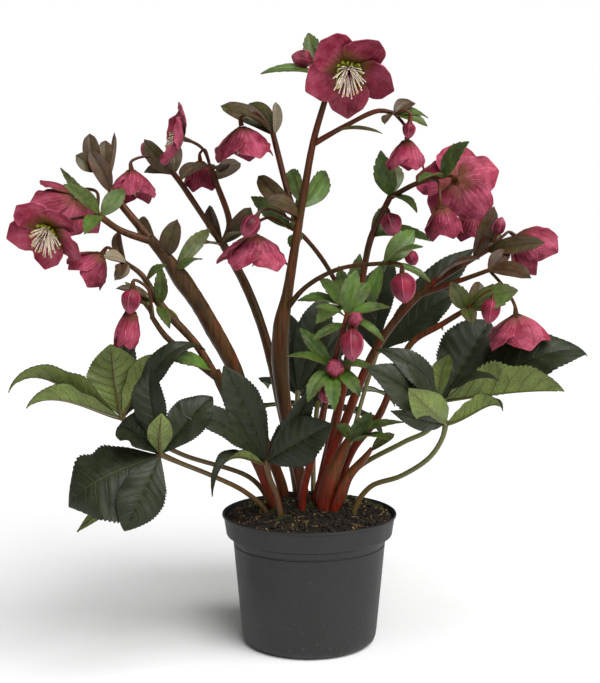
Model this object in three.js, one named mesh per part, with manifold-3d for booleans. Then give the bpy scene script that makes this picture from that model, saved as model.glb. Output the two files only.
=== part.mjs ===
// Hellebore in its nursery pot, in millimetres, +Z up.
// The origin is the middle of the pot's flat underside. -Y is the plant's front.
import * as THREE from "three";
import { mergeVertices } from "three/addons/utils/BufferGeometryUtils.js";
import Module from "manifold-3d";

const wasm = await Module();
wasm.setup();

// ---- driving dimensions -------------------------------------------------------------------

const CLEARANCE = 0.32; // left between a piece and what it touches
const POT = {
  rimRadius: 75,
  footRadius: 58,
  height: 112,
  bandHeight: 18, // the thicker band under the rim
  wall: 1.5,
  floor: 2.4,
  sides: 24,
};
const DRAIN = { count: 4, radius: 5, ring: 44, sides: 6 };
const SOIL = { edgeHeight: 108, middleHeight: 122, dome: 2.4, lumps: 4.4, rings: 3 };
const SIDES = { stem: 6, branch: 4, twig: 4, stamen: 3, bud: 8 };
const PEDICEL = { radius: 1.35, disc: 2.3, straight: 7 }; // the disc carries a flower or a bud
const BRACT = { fold: 0.35, long: 42 }; // bracts longer than this have a fuller outline
const LEAFLET = {
  rib: 0.75, // half the thickness along the midrib
  root: 2.5, // how far it starts inside the end of its stalk
  widest: 0.58,
  teeth: 3,
  toothOut: 1.14,
  toothLean: 0.55,
  notchIn: 0.9,
};
const SEPAL = {
  rib: 0.7,
  neck: 1.6, // half the width of the root
  reach: 3, // where the root is, out from the flower's axis and up along it
  rise: 1.2,
  breadth: 0.43, // half the width, as a share of the length
  slant: 0.2, // turns each sepal so that one edge lies over the next sepal
  large: 35, // sepals longer than this have a finer outline
};
const SEPALS = 5;
const FLATTEST = 0.12; // even a wide open sepal keeps this much of a cup
const HUB = { foot: 4.4, top: 5.4, height: 2.4 }; // where a flower's sepals join
const STAMENS = {
  count: 6,
  height: 0.36, // as a share of a sepal's length
  root: 0.6,
  anther: 1.1,
  seedCase: [[3, 0], [6, 3], [1.6, 9]], // [radius, height]
};

const LOOKS = {
  pot: { color: 0x3a3a3c, roughness: 0.55 },
  soil: { color: 0x2e2118, roughness: 0.95 },
  stem: { color: 0x6b4433, roughness: 0.5 },
  leaf: { color: 0x2f4a33, roughness: 0.45 },
  petal: { color: 0x97304f, roughness: 0.6 },
  darkPetal: { color: 0x7a1f3e, roughness: 0.6 },
  bud: { color: 0xa03350, roughness: 0.5 },
  stamens: { color: 0xe6dfae, roughness: 0.6 },
};

// ---- vectors and solids -------------------------------------------------------------------

const vec = (point) => new THREE.Vector3(point[0], point[1], point[2]);
const mix = (a, b, t) => a + (b - a) * t;

/** A seeded random number from 0 to 1, the same on every run. */
function seeded(seed) {
  let state = seed;
  return () => {
    state = (state * 1664525 + 1013904223) % 4294967296;
    return state / 4294967296;
  };
}

/** A geometry with only its positions, and with shared corners made one. */
function mergedGeometry(geometry) {
  const bare = geometry.clone();
  bare.deleteAttribute("normal");
  bare.deleteAttribute("uv");
  return mergeVertices(bare, 1e-4);
}

/** A closed geometry as a solid, with its faces turned round if they point inwards. */
function solidFromGeometry(geometry) {
  const merged = mergedGeometry(geometry);
  const vertProperties = Float32Array.from(merged.attributes.position.array);
  const triVerts = Uint32Array.from(merged.index.array);
  const solid = new wasm.Manifold(new wasm.Mesh({ numProp: 3, vertProperties, triVerts }));
  if (solid.volume() > 0) return solid;
  triVerts.reverse();
  return new wasm.Manifold(new wasm.Mesh({ numProp: 3, vertProperties, triVerts }));
}

function geometryFromSolid(solid) {
  const { vertProperties, triVerts, numProp } = solid.getMesh();
  const positions = new Float32Array((vertProperties.length / numProp) * 3);
  for (let i = 0; i < positions.length / 3; i += 1) {
    for (let axis = 0; axis < 3; axis += 1) positions[i * 3 + axis] = vertProperties[i * numProp + axis];
  }
  const geometry = new THREE.BufferGeometry();
  geometry.setAttribute("position", new THREE.BufferAttribute(positions, 3));
  geometry.setIndex(new THREE.BufferAttribute(Uint32Array.from(triVerts), 1));
  geometry.computeVertexNormals();
  return geometry;
}

/** Joins rings of points into one closed solid. A ring of one point is a pointed end. */
function skin(rings, paired = false) {
  const positions = [];
  const firsts = rings.map((ring) => {
    const first = positions.length / 3;
    ring.forEach((p) => positions.push(p.x, p.y, p.z));
    return first;
  });
  const faces = [];
  const closeEnd = (ring, first, flip) => {
    for (let i = 1; i < ring.length - 1; i += 1) {
      const corners = [1, 1 + i, 2 + i].map((k) => first + (k % ring.length));
      faces.push(...(flip ? corners.reverse() : corners));
    }
  };
  for (let j = 0; j < rings.length - 1; j += 1) {
    const sides = Math.max(rings[j].length, rings[j + 1].length);
    for (let i = 0; i < sides; i += 1) {
      const next = (i + 1) % sides;
      const a = firsts[j] + (rings[j].length > 1 ? i : 0);
      const b = firsts[j] + (rings[j].length > 1 ? next : 0);
      const c = firsts[j + 1] + (rings[j + 1].length > 1 ? next : 0);
      const d = firsts[j + 1] + (rings[j + 1].length > 1 ? i : 0);
      if (rings[j].length === 1) faces.push(a, c, d);
      else if (rings[j + 1].length === 1) faces.push(a, b, c);
      else if (paired && i >= sides / 2) faces.push(a, b, d, b, c, d);
      else faces.push(a, b, c, a, c, d);
    }
  }
  closeEnd(rings[0], firsts[0], true);
  closeEnd(rings[rings.length - 1], firsts[rings.length - 1], false);
  const geometry = new THREE.BufferGeometry();
  geometry.setAttribute("position", new THREE.Float32BufferAttribute(positions, 3));
  geometry.setIndex(faces);
  return solidFromGeometry(geometry);
}

const joined = (solids) => solids.reduce((whole, solid) => whole.add(solid));

/** The largest body of a solid, without loose scraps. */
function largestBody(solid) {
  const bodies = solid.decompose();
  return bodies.reduce((best, body) => (body.volume() > best.volume() ? body : best));
}

// ---- the shapes that a plant is made of ---------------------------------------------------

/** A round stalk through the points [x, y, z, radius], with flat ends. */
function stalk(points, sides, grow = 0) {
  const curve = new THREE.CatmullRomCurve3(points.map(vec), false, "centripetal");
  const last = points.length - 1;
  let side = new THREE.Vector3(1, 0.2, 0.1);
  const rings = points.map((point, j) => {
    const ahead = curve.getTangent(j / last);
    side = side.clone().addScaledVector(ahead, -side.dot(ahead)).normalize();
    const across = ahead.clone().cross(side);
    const radius = point[3] + grow;
    const middle = vec(point).addScaledVector(ahead, j === 0 ? -grow : j === last ? grow : 0);
    return Array.from({ length: sides }, (_, i) => {
      const angle = (2 * Math.PI * i) / sides;
      return middle.clone()
        .addScaledVector(side, radius * Math.cos(angle))
        .addScaledVector(across, radius * Math.sin(angle));
    });
  });
  return skin(rings);
}

/**
 * The ring of a thin leaf's cross-section: two edges and a midrib.
 * With a rim above 0 the edges are that much thicker each way.
 */
function leafRing(left, rib, right, out, halfRib, rim) {
  const at = (point, offset) => point.clone().addScaledVector(out, offset);
  if (rim === 0) return [left.clone(), at(rib, -halfRib), right.clone(), at(rib, halfRib)];
  const below = [at(left, -rim), at(rib, -halfRib), at(right, -rim)];
  return [...below, at(right, rim), at(rib, halfRib), at(left, rim)];
}

/**
 * A leaf blade from base to tip. face points out of its upper side. arch lifts the midrib, and
 * hook moves the top of that rise towards the tip. fold turns each half up, in radians, and
 * teeth is how many points each edge has.
 */
function blade(options, grow = 0) {
  const { base, tip, halfWidth, face, fold } = options;
  const { arch = 0.1, hook = 0, teeth = 0, widest = 0.5, fullness = 0.8 } = options;
  const start = vec(base);
  const along = vec(tip).sub(start);
  const length = along.length();
  const ahead = along.clone().normalize();
  const out = vec(face).addScaledVector(ahead, -vec(face).dot(ahead)).normalize();
  const side = ahead.clone().cross(out);
  const plain = length > BRACT.long ? 3 : 2;
  const stations = teeth > 0 ? teeth * 2 + 1 : plain;
  const power = Math.log(0.5) / Math.log(widest);
  const rising = 1 + hook;
  const falling = 1 - 0.45 * hook;
  const crest = rising / (rising + falling);
  const tallest = crest ** rising * (1 - crest) ** falling;
  const height = (u) => (arch * length * u ** rising * (1 - u) ** falling) / tallest;
  const midrib = (u) => start.clone().addScaledVector(along, u).addScaledVector(out, height(u));
  const upAt = (u) => {
    const slope = (height(u + 0.01) - height(u - 0.01)) / (0.02 * length);
    return out.clone().addScaledVector(ahead, -slope).normalize();
  };
  const outline = (u) => halfWidth * Math.sin(Math.PI * u ** power) ** fullness;
  const edge = (u, hand, reach) => {
    const half = outline(u) * reach + grow * 2;
    return midrib(u).addScaledVector(side, half * hand * Math.cos(fold))
      .addScaledVector(upAt(u), half * Math.sin(fold));
  };
  const rings = [[start.clone().addScaledVector(ahead, -grow)]];
  for (let j = 1; j < stations; j += 1) {
    const u = j / stations;
    const pointed = teeth > 0 && j % 2 === 0;
    const edgeAt = pointed ? u + LEAFLET.toothLean / stations : u;
    const toothed = pointed ? LEAFLET.toothOut : LEAFLET.notchIn;
    const reach = teeth > 0 ? toothed : 1;
    const [left, right] = [edge(edgeAt, -1, reach), edge(edgeAt, 1, reach)];
    rings.push(leafRing(left, midrib(u), right, upAt(u), LEAFLET.rib + grow, grow));
  }
  rings.push([vec(tip).addScaledVector(ahead, grow * 2)]);
  return skin(rings, true);
}

/** Three perpendicular directions, the first of them the one given. */
function directions(facing) {
  const axis = vec(facing).normalize();
  const helper = Math.abs(axis.z) < 0.8 ? new THREE.Vector3(0, 0, 1) : new THREE.Vector3(0, 1, 0);
  const right = helper.cross(axis).normalize();
  return { axis, right, up: axis.clone().cross(right) };
}

/**
 * One sepal of a flower that opens along its axis. open holds the angle in degrees between
 * the sepal and the flower's flat plane, at its root and at its tip.
 */
function sepal(flower, azimuth, grow = 0) {
  const { axis, right, up } = directions(flower.facing);
  const [rootAngle, tipAngle] = flower.open.map(THREE.MathUtils.degToRad);
  const length = flower.length;
  const halfWidth = length * SEPAL.breadth;
  const out = right.clone().multiplyScalar(Math.cos(azimuth)).addScaledVector(up, Math.sin(azimuth));
  const turn = axis.clone().cross(out);
  const angleAt = (u) => mix(rootAngle, tipAngle, u);
  const bend = tipAngle - rootAngle;
  const midrib = (u) => {
    const reach = SEPAL.reach + (length * (Math.sin(angleAt(u)) - Math.sin(rootAngle))) / bend;
    const rise = SEPAL.rise + (length * (Math.cos(rootAngle) - Math.cos(angleAt(u)))) / bend;
    return { reach, point: vec(flower.centre).addScaledVector(out, reach).addScaledVector(axis, rise) };
  };
  const rings = [];
  const places = length > SEPAL.large ? [0, 0.28, 0.62, 0.9] : [0, 0.42, 0.86];
  places.forEach((u, j) => {
    const { reach, point } = midrib(u);
    const angle = angleAt(u);
    const inward = axis.clone().multiplyScalar(Math.cos(angle)).addScaledVector(out, -Math.sin(angle));
    const ahead = out.clone().multiplyScalar(Math.cos(angle)).addScaledVector(axis, Math.sin(angle));
    const fullness = Math.sin(Math.PI * 0.94 * u ** 0.85) ** 0.75;
    const half = Math.max(halfWidth * fullness, SEPAL.neck) + grow * 2;
    const curl = (Math.max(Math.sin(angle), FLATTEST) / Math.max(reach, HUB.top)) * half;
    const spread = (Math.sin(curl) / curl) * half;
    const lift = ((1 - Math.cos(curl)) / curl) * half;
    const edge = (hand) => point.clone().addScaledVector(turn, hand * spread)
      .addScaledVector(inward, lift + hand * SEPAL.slant * half);
    const middle = point.clone().addScaledVector(ahead, j === 0 ? -grow : 0);
    rings.push(leafRing(edge(-1), middle, edge(1), inward, SEPAL.rib + grow, grow));
  });
  rings.push([midrib(1).point.addScaledVector(axis, grow)]);
  return skin(rings, true);
}

/** A body of revolution about a direction, from pairs [radius, height]. */
function turned(centre, facing, profile, sides, start = 0, grow = 0) {
  const { axis, right, up } = directions(facing);
  const rings = profile.map(([radius, height]) => {
    const middle = vec(centre).addScaledVector(axis, height);
    if (radius === 0) return [middle];
    return Array.from({ length: sides }, (_, i) => {
      const angle = start + (2 * Math.PI * i) / sides;
      return middle.clone()
        .addScaledVector(right, (radius + grow) * Math.cos(angle))
        .addScaledVector(up, (radius + grow) * Math.sin(angle));
    });
  });
  return skin(rings);
}

// ---- pot and soil -------------------------------------------------------------------------

/** A profile of [radius, height] pairs turned about the pot's axis. */
function lathe(profile) {
  const outline = profile.map(([radius, height]) => new THREE.Vector2(radius, height));
  return mergedGeometry(new THREE.LatheGeometry(outline, POT.sides).rotateX(Math.PI / 2));
}

/** The pot's outer outline from the foot to the rim, as [radius, height]. */
function potOutline() {
  const { rimRadius, height, footRadius, bandHeight } = POT;
  const bandFoot = height - bandHeight;
  return [
    [footRadius - 7, 0],
    [footRadius, 7],
    [rimRadius - 9.6, bandFoot - 7],
    [rimRadius - 8.6, bandFoot - 3.5],
    [rimRadius - 3.4, bandFoot + 2],
    [rimRadius - 1.4, height - 3],
    [rimRadius, height - 1.8],
    [rimRadius - 0.5, height],
  ];
}

function potInside(inset) {
  const { rimRadius, height, footRadius, bandHeight, wall, floor } = POT;
  const bandFoot = height - bandHeight;
  return [
    [rimRadius - 1.8 - inset, height],
    [rimRadius - 3.4 - wall - inset, bandFoot + 2],
    [rimRadius - 9.4 - wall - inset, bandFoot - 7],
    [footRadius - wall - inset, 7.6],
    [footRadius - wall - 3 - inset, floor + inset],
  ];
}

function makePot() {
  const profile = [[0, 0], ...potOutline(), ...potInside(0), [0, POT.floor]];
  const shell = solidFromGeometry(lathe(profile));
  const holes = Array.from({ length: DRAIN.count }, (_, i) => {
    const angle = ((i + 0.5) * 2 * Math.PI) / DRAIN.count;
    const centre = [DRAIN.ring * Math.cos(angle), DRAIN.ring * Math.sin(angle), -1];
    return turned(centre, [0, 0, 1], [[DRAIN.radius, 0], [DRAIN.radius, POT.floor + 2]], DRAIN.sides);
  });
  return shell.subtract(joined(holes));
}

/** Compost that fills the pot, with a lumpy mound on top. */
function makeSoil() {
  const random = seeded(11);
  const wallSide = potInside(CLEARANCE).reverse();
  const [bandRadius, bandFoot] = wallSide[wallSide.length - 2];
  const [rimRadius] = wallSide[wallSide.length - 1];
  const climb = (SOIL.edgeHeight - bandFoot) / (POT.height - bandFoot);
  const edgeRadius = mix(bandRadius, rimRadius, climb);
  const profile = [[0, wallSide[0][1]], ...wallSide.slice(0, -1)];
  const topOfRing = (share) => mix(SOIL.middleHeight, SOIL.edgeHeight, share ** SOIL.dome);
  for (let ring = 0; ring < SOIL.rings; ring += 1) {
    const share = 1 - ring / SOIL.rings;
    profile.push([edgeRadius * share, topOfRing(share)]);
  }
  profile.push([0, SOIL.middleHeight]);
  const mound = lathe(profile);
  const position = mound.attributes.position;
  for (let i = 0; i < position.count; i += 1) {
    const reach = Math.hypot(position.getX(i), position.getY(i));
    const lift = (random() - 0.4) * SOIL.lumps;
    if (position.getZ(i) > SOIL.edgeHeight + 0.5 && reach < edgeRadius - 1) {
      position.setZ(i, position.getZ(i) + lift);
    }
  }
  return solidFromGeometry(mound);
}

// ---- flowering stems ----------------------------------------------------------------------
// Each stalk is a list of points [x, y, z, radius] from its foot to its end.
// Each bract is [base, tip, half width, direction that its face looks in].

const STEMS = {
  stem_a: {
    stalks: [
      [[-26, -14, 95, 4.8], [-34, -22, 134, 4.6], [-57, -44, 192, 4.2], [-76, -58, 240, 4.2]],
      [[-76, -58, 236, 3.6], [-90, -62, 261, 3.2], [-119, -68, 295, 3.6], [-133, -62, 317, 2.2],
        [-148, -56, 328, 1.6]],
      [[-76, -58, 236, 3.2], [-96, -66, 253, 2.8], [-114, -74, 270, 2.4], [-124, -80, 286, 2]],
    ],
    bracts: [
      [[-119, -68, 294], [-116, -80, 325], 6, [0, -1, 0.3]],
      [[-121, -68, 294], [-151, -84, 308], 7, [0, -0.5, 1]],
      [[-120, -70, 293], [-108, -98, 278], 5, [0, -0.4, 1]],
      [[-118, -68, 293], [-104, -56, 272], 5, [1, -0.5, 0.5]],
      [[-78, -58, 240], [-108, -86, 252], 8, [0, -0.7, 0.7]],
      [[-122, -79, 284], [-146, -68, 312], 5, [0, -0.4, 1]],
      [[-147, -56, 326], [-156, -36, 352], 6, [-0.6, -0.6, 0.5]],
      [[-147, -56, 326], [-146, -84, 318], 6, [-0.2, -0.4, 1]],
      [[-130, -63, 310], [-112, -82, 326], 5, [0.3, -0.7, 0.6]],
      [[-147, -56, 327], [-162, -72, 332], 7, [-0.2, -0.8, 0.5]],
      [[-147, -56, 327], [-153, -76, 314], 6, [0.3, -0.8, 0.4]],
    ],
  },
  stem_b: {
    stalks: [
      [[-22, 8, 95, 4.6], [-22, 8, 125, 4.6], [-48, -8, 197, 5], [-66, -16, 244, 6.6],
        [-80, -22, 271, 7.2], [-92, -26, 293, 6.8], [-106, -30, 314, 7.6], [-118, -36, 332, 5.2],
        [-130, -40, 347, 4.2]],
      [[-130, -40, 347, 3.6], [-148, -38, 368, 3.2], [-162, -34, 386, 2.8], [-171, -36, 403, 1.4]],
      [[-128, -40, 344, 3.4], [-152, -50, 353, 2.8], [-169, -60, 366, 2.6]],
      [[-52, -6, 208, 3.2], [-78, -14, 264, 3.4], [-96, -20, 296, 3.4], [-106, -27, 316, 3]],
    ],
    bracts: [
      [[-171, -36, 401], [-178, -36, 431], 8, [-0.2, -0.9, 0.3]],
      [[-171, -37, 401], [-188, -44, 413], 8, [-0.2, -0.9, 0.4]],
      [[-162, -34, 384], [-177, -44, 418], 8, [0.1, -1, 0.2]],
      [[-165, -34, 390], [-160, -22, 433], 3, [0.6, -0.8, 0]],
      [[-170, -35, 401], [-166, -30, 426], 7, [0.3, -0.9, 0.2]],
      [[-167, -59, 365], [-197, -60, 402], 4, [-0.5, -0.8, 0.4]],
      [[-167, -59, 365], [-190, -84, 388], 7, [-0.3, -0.8, 0.6]],
      [[-166, -59, 364], [-150, -42, 386], 8, [0.5, -0.7, 0.5]],
      [[-166, -59, 364], [-172, -98, 350], 7, [0.2, -0.3, 1]],
      [[-125, -38, 340], [-140, -14, 364], 7, [-0.5, -0.6, 0.6]],
      [[-118, -36, 332], [-106, -52, 362], 9, [0.2, -1, 0]],
      [[-110, -33, 322], [-84, -6, 354], 7, [0.6, -0.6, 0.5]],
      [[-108, -32, 318], [-86, -58, 330], 7, [0.4, -0.5, 0.8]],
    ],
  },
  stem_d: {
    stalks: [
      [[-10, 24, 95, 4.6], [-10, 24, 124, 4.6], [-26, 40, 203, 4.4], [-40, 50, 261, 4.2],
        [-57, 56, 305, 4.2], [-78, 60, 343, 3.6]],
      [[-78, 60, 341, 3], [-93, 56, 364, 2.6], [-119, 44, 403, 2.6], [-130, 42, 414, 1.6]],
      [[-77, 60, 341, 3], [-71, 58, 359, 2.8], [-82, 45, 396, 2.6], [-86, 39, 410, 2.2]],
    ],
    bracts: [
      [[-119, 44, 403], [-143, 34, 432], 9, [-0.4, -0.8, 0.3]],
      [[-120, 44, 402], [-146, 56, 405], 9, [-0.2, -0.5, 0.9]],
      [[-118, 44, 403], [-124, 62, 432], 8, [0.3, -0.8, 0.3]],
      [[-78, 60, 342], [-90, 74, 376], 8, [-0.6, -0.6, 0.4]],
      [[-77, 60, 342], [-52, 66, 374], 9, [0.4, -0.8, 0.4]],
      [[-79, 60, 340], [-102, 42, 338], 7, [-0.3, -0.3, 1]],
      [[-77, 60, 341], [-58, 40, 352], 7, [0.4, -0.5, 0.8]],
      [[-86, 40, 409], [-110, 18, 396], 11, [-0.3, -0.6, 0.7]],
      [[-85, 40, 408], [-76, 16, 402], 11, [0.3, -0.6, 0.7]],
      [[-83, 45, 398], [-60, 50, 412], 9, [0.3, -0.7, 0.6]],
    ],
  },
  stem_f: {
    stalks: [
      [[-5, 2, 95, 5], [-5, 2, 125, 5], [-20, 7, 195, 5.6], [-25, 8, 240, 7.6], [-24, 6, 272, 7],
        [-19, 4, 298, 4.6], [-11, -4, 347, 3.6], [-5, -8, 382, 3.2], [3, -16, 426, 2.8],
        [14, -22, 464, 2.4]],
      [[-20, 4, 286, 2.8], [-3, -12, 306, 2.1], [25, -34, 322, 1.8], [60, -54, 327, 1.7]],
      [[3, -16, 424, 2.6], [29, -24, 438, 2], [56, -26, 450, 2], [70, -24, 448, 1.8]],
      [[-9, -6, 358, 3], [-18, 5, 384, 2.6], [-26, 12, 415, 2.6], [-31, 14, 435, 2.4]],
      [[13, -21, 460, 2.4], [9, -10, 476, 2], [7, -6, 491, 1.6]],
    ],
    bracts: [
      [[-31, 14, 434], [-76, 22, 459], 11, [-0.3, -0.6, 0.8]],
      [[-32, 14, 434], [-68, -14, 452], 9, [-0.2, -0.6, 0.8]],
      [[-30, 14, 434], [-29, 18, 462], 5, [0.3, -1, 0]],
      [[-31, 15, 434], [-52, 38, 463], 9, [-0.3, -0.3, 0.9]],
      [[-9, -6, 364], [-44, 24, 400], 9, [-0.5, -0.7, 0.5]],
      [[-9, -7, 364], [-36, -24, 378], 9, [-0.2, -0.8, 0.6]],
      [[-6, -7, 372], [14, 26, 404], 10, [0.6, -0.7, 0.3]],
      [[-6, -6, 374], [-16, 44, 406], 8, [-0.2, -0.4, 0.9]],
      [[8, -6, 487], [-1, -2, 516], 8, [-0.2, -0.9, 0.3]],
      [[8, -7, 488], [14, -18, 500], 6, [0.2, -0.8, 0.5]],
      [[9, -9, 480], [-40, -22, 480], 6, [0, -0.6, 0.8]],
      [[16, -20, 432], [58, -46, 430], 3, [0, -0.6, 0.8]],
      [[69, -24, 447], [86, -12, 458], 8, [-0.2, -0.8, 0.5]],
      [[69, -24, 447], [98, -8, 446], 8, [0.2, -0.5, 0.8]],
      [[69, -24, 447], [96, -22, 438], 7, [0.3, -0.6, 0.7]],
      [[68, -25, 447], [60, -40, 438], 5, [-0.4, -0.6, 0.7]],
      [[59, -54, 326], [84, -42, 353], 10, [0.3, -0.9, 0.3]],
      [[60, -54, 326], [88, -76, 340], 6, [0.2, -0.5, 0.9]],
      [[60, -55, 325], [96, -58, 312], 5, [0.2, -0.5, 0.9]],
      [[57, -52, 326], [48, -46, 292], 7, [-0.2, -1, 0]],
    ],
  },
  stem_g: {
    stalks: [
      [[8, 36, 95, 2.8], [8, 36, 120, 2.8], [32, 54, 228, 2.4], [36, 58, 276, 2.4], [18, 54, 318, 2.2],
        [-6, 36, 349, 2], [-17, 23, 356, 1.8]],
    ],
    bracts: [
      [[-7, 35, 350], [-14, 10, 336], 7, [-0.2, -0.6, 0.7]],
      [[-16, 24, 355], [-50, 22, 382], 9, [-0.4, -0.6, 0.7]],
      [[-16, 24, 355], [-8, 16, 384], 6, [0.4, -0.9, 0.2]],
      [[33, 57, 284], [-10, 28, 292], 8, [0, -0.6, 0.8]],
      [[33, 57, 284], [8, 34, 312], 8, [-0.2, -0.8, 0.5]],
      [[33, 57, 284], [26, 40, 322], 8, [0, -1, 0.2]],
      [[33, 57, 284], [46, 66, 332], 8, [0.4, -0.9, 0.2]],
      [[33, 57, 284], [6, 28, 272], 8, [0, -0.5, 0.9]],
      [[33, 57, 284], [62, 84, 306], 8, [0.2, -0.3, 0.9]],
    ],
  },
  stem_i: {
    stalks: [
      [[11, 19, 95, 3.8], [11, 19, 122, 3.8], [32, 36, 222, 3.4], [47, 45, 309, 3], [54, 38, 346, 3],
        [70, 22, 383, 2.6]],
      [[69, 23, 381, 2.4], [89, 8, 392, 2.2], [104, -2, 397, 2], [113, -8, 398, 1.8]],
    ],
    bracts: [
      [[70, 22, 383], [60, 4, 420], 10, [-0.3, -1, 0]],
      [[70, 22, 383], [90, -4, 368], 8, [0.2, -0.4, 0.9]],
      [[71, 22, 384], [72, 44, 414], 8, [0.3, -0.3, 0.9]],
      [[111, -8, 397], [128, -40, 424], 10, [0, -0.8, 0.5]],
      [[110, -7, 397], [88, -36, 392], 9, [-0.2, -0.4, 0.9]],
      [[55, 38, 347], [104, 14, 344], 10, [0, -0.5, 0.9]],
      [[55, 38, 348], [68, 56, 374], 8, [0.4, -0.7, 0.5]],
    ],
  },
  stem_j: {
    stalks: [
      [[7, -6, 95, 4.6], [7, -6, 125, 4.6], [31, 4, 190, 4], [59, 4, 256, 3.6], [95, -8, 302, 3.4],
        [125, -14, 323, 2.8], [152, -14, 339, 2.2]],
      [[95, -8, 300, 2.6], [117, -22, 309, 2.2], [132, -30, 315, 2], [147, -36, 321, 1.8]],
    ],
    bracts: [
      [[137, -14, 331], [152, -22, 373], 8.5, [0.1, -1, 0.1]],
      [[139, -14, 332], [160, -2, 352], 9, [0.2, -0.8, 0.4]],
      [[148, -14, 336], [190, -44, 343], 9, [0, -0.9, 0.4]],
      [[106, -11, 310], [138, -40, 330], 9, [0.2, -0.5, 0.9]],
      [[146, -36, 320], [163, -30, 336], 8, [-0.1, -0.8, 0.5]],
      [[147, -36, 320], [176, -60, 315], 10, [0, -0.7, 0.7]],
    ],
  },
  stem_k: {
    stalks: [
      [[24, -14, 95, 3.4], [24, -14, 130, 3.4], [36, -22, 169, 3.2], [57, -34, 200, 3],
        [72, -40, 238, 2.8], [83, -43, 262, 2.6], [104, -50, 276, 2.4], [128, -58, 292, 2]],
    ],
    bracts: [
      [[127, -58, 291], [163, -74, 306], 12, [-0.1, -0.8, 0.6]],
      [[127, -58, 291], [136, -52, 312], 8, [0.2, -1, 0.2]],
      [[125, -57, 290], [112, -62, 312], 8, [-0.3, -0.9, 0.4]],
      [[126, -58, 290], [126, -84, 280], 7, [0, -0.5, 0.9]],
    ],
  },
  stem_l: {
    stalks: [
      [[13, -26, 95, 7.2], [13, -26, 127, 8], [18, -31, 149, 7.6], [26, -35, 168, 5.4],
        [33, -37, 183, 2.6]],
      [[20, -30, 120, 4.5], [32, -37, 150, 4], [45, -41, 166, 3], [51, -43, 175, 1.6]],
    ],
    bracts: [
      [[32, -37, 180], [50, -52, 206], 8, [0.2, -0.9, 0.4]],
      [[33, -37, 179], [76, -54, 198], 7, [0.2, -0.5, 0.9]],
      [[33, -37, 178], [64, -70, 186], 7, [0.2, -0.4, 0.9]],
      [[32, -37, 180], [24, -62, 198], 6, [-0.2, -0.6, 0.7]],
      [[51, -43, 173], [70, -40, 186], 5, [0.3, -0.6, 0.7]],
    ],
  },
  stem_m: {
    stalks: [
      [[-6, -30, 95, 3.4], [-6, -30, 131, 3.4], [8, -58, 193, 3], [16, -78, 239, 2.6],
        [26, -84, 276, 2.4], [29, -82, 289, 2]],
    ],
    bracts: [
      [[17, -79, 246], [-18, -94, 256], 7, [0, -0.5, 0.9]],
      [[17, -79, 245], [-2, -104, 222], 7, [-0.2, -0.8, 0.5]],
      [[17, -80, 244], [18, -110, 216], 7, [0, -0.8, 0.5]],
      [[18, -80, 245], [38, -102, 226], 7, [0.3, -0.8, 0.5]],
      [[18, -79, 246], [50, -92, 246], 7, [0.2, -0.5, 0.9]],
      [[17, -78, 247], [-8, -72, 276], 6, [-0.3, -0.8, 0.4]],
      [[28, -82, 287], [62, -82, 293], 7, [0, -0.5, 0.9]],
      [[29, -82, 286], [58, -88, 266], 6, [0.4, -0.5, 0.8]],
      [[28, -82, 287], [36, -78, 322], 8, [0, -1, 0.2]],
      [[27, -82, 286], [4, -94, 294], 6, [-0.2, -0.5, 0.9]],
      [[27, -83, 280], [2, -94, 268], 6, [-0.3, -0.6, 0.8]],
      [[29, -81, 287], [48, -62, 312], 7, [0.3, -0.6, 0.7]],
    ],
  },
};

// ---- leaves -------------------------------------------------------------------------------
// Each leaflet is [tip, half width, direction of its upper side, arch of its midrib, fold of
// its halves towards that side in radians, hook of its tip]. teeth is given where it is not
// LEAFLET.teeth.

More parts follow.
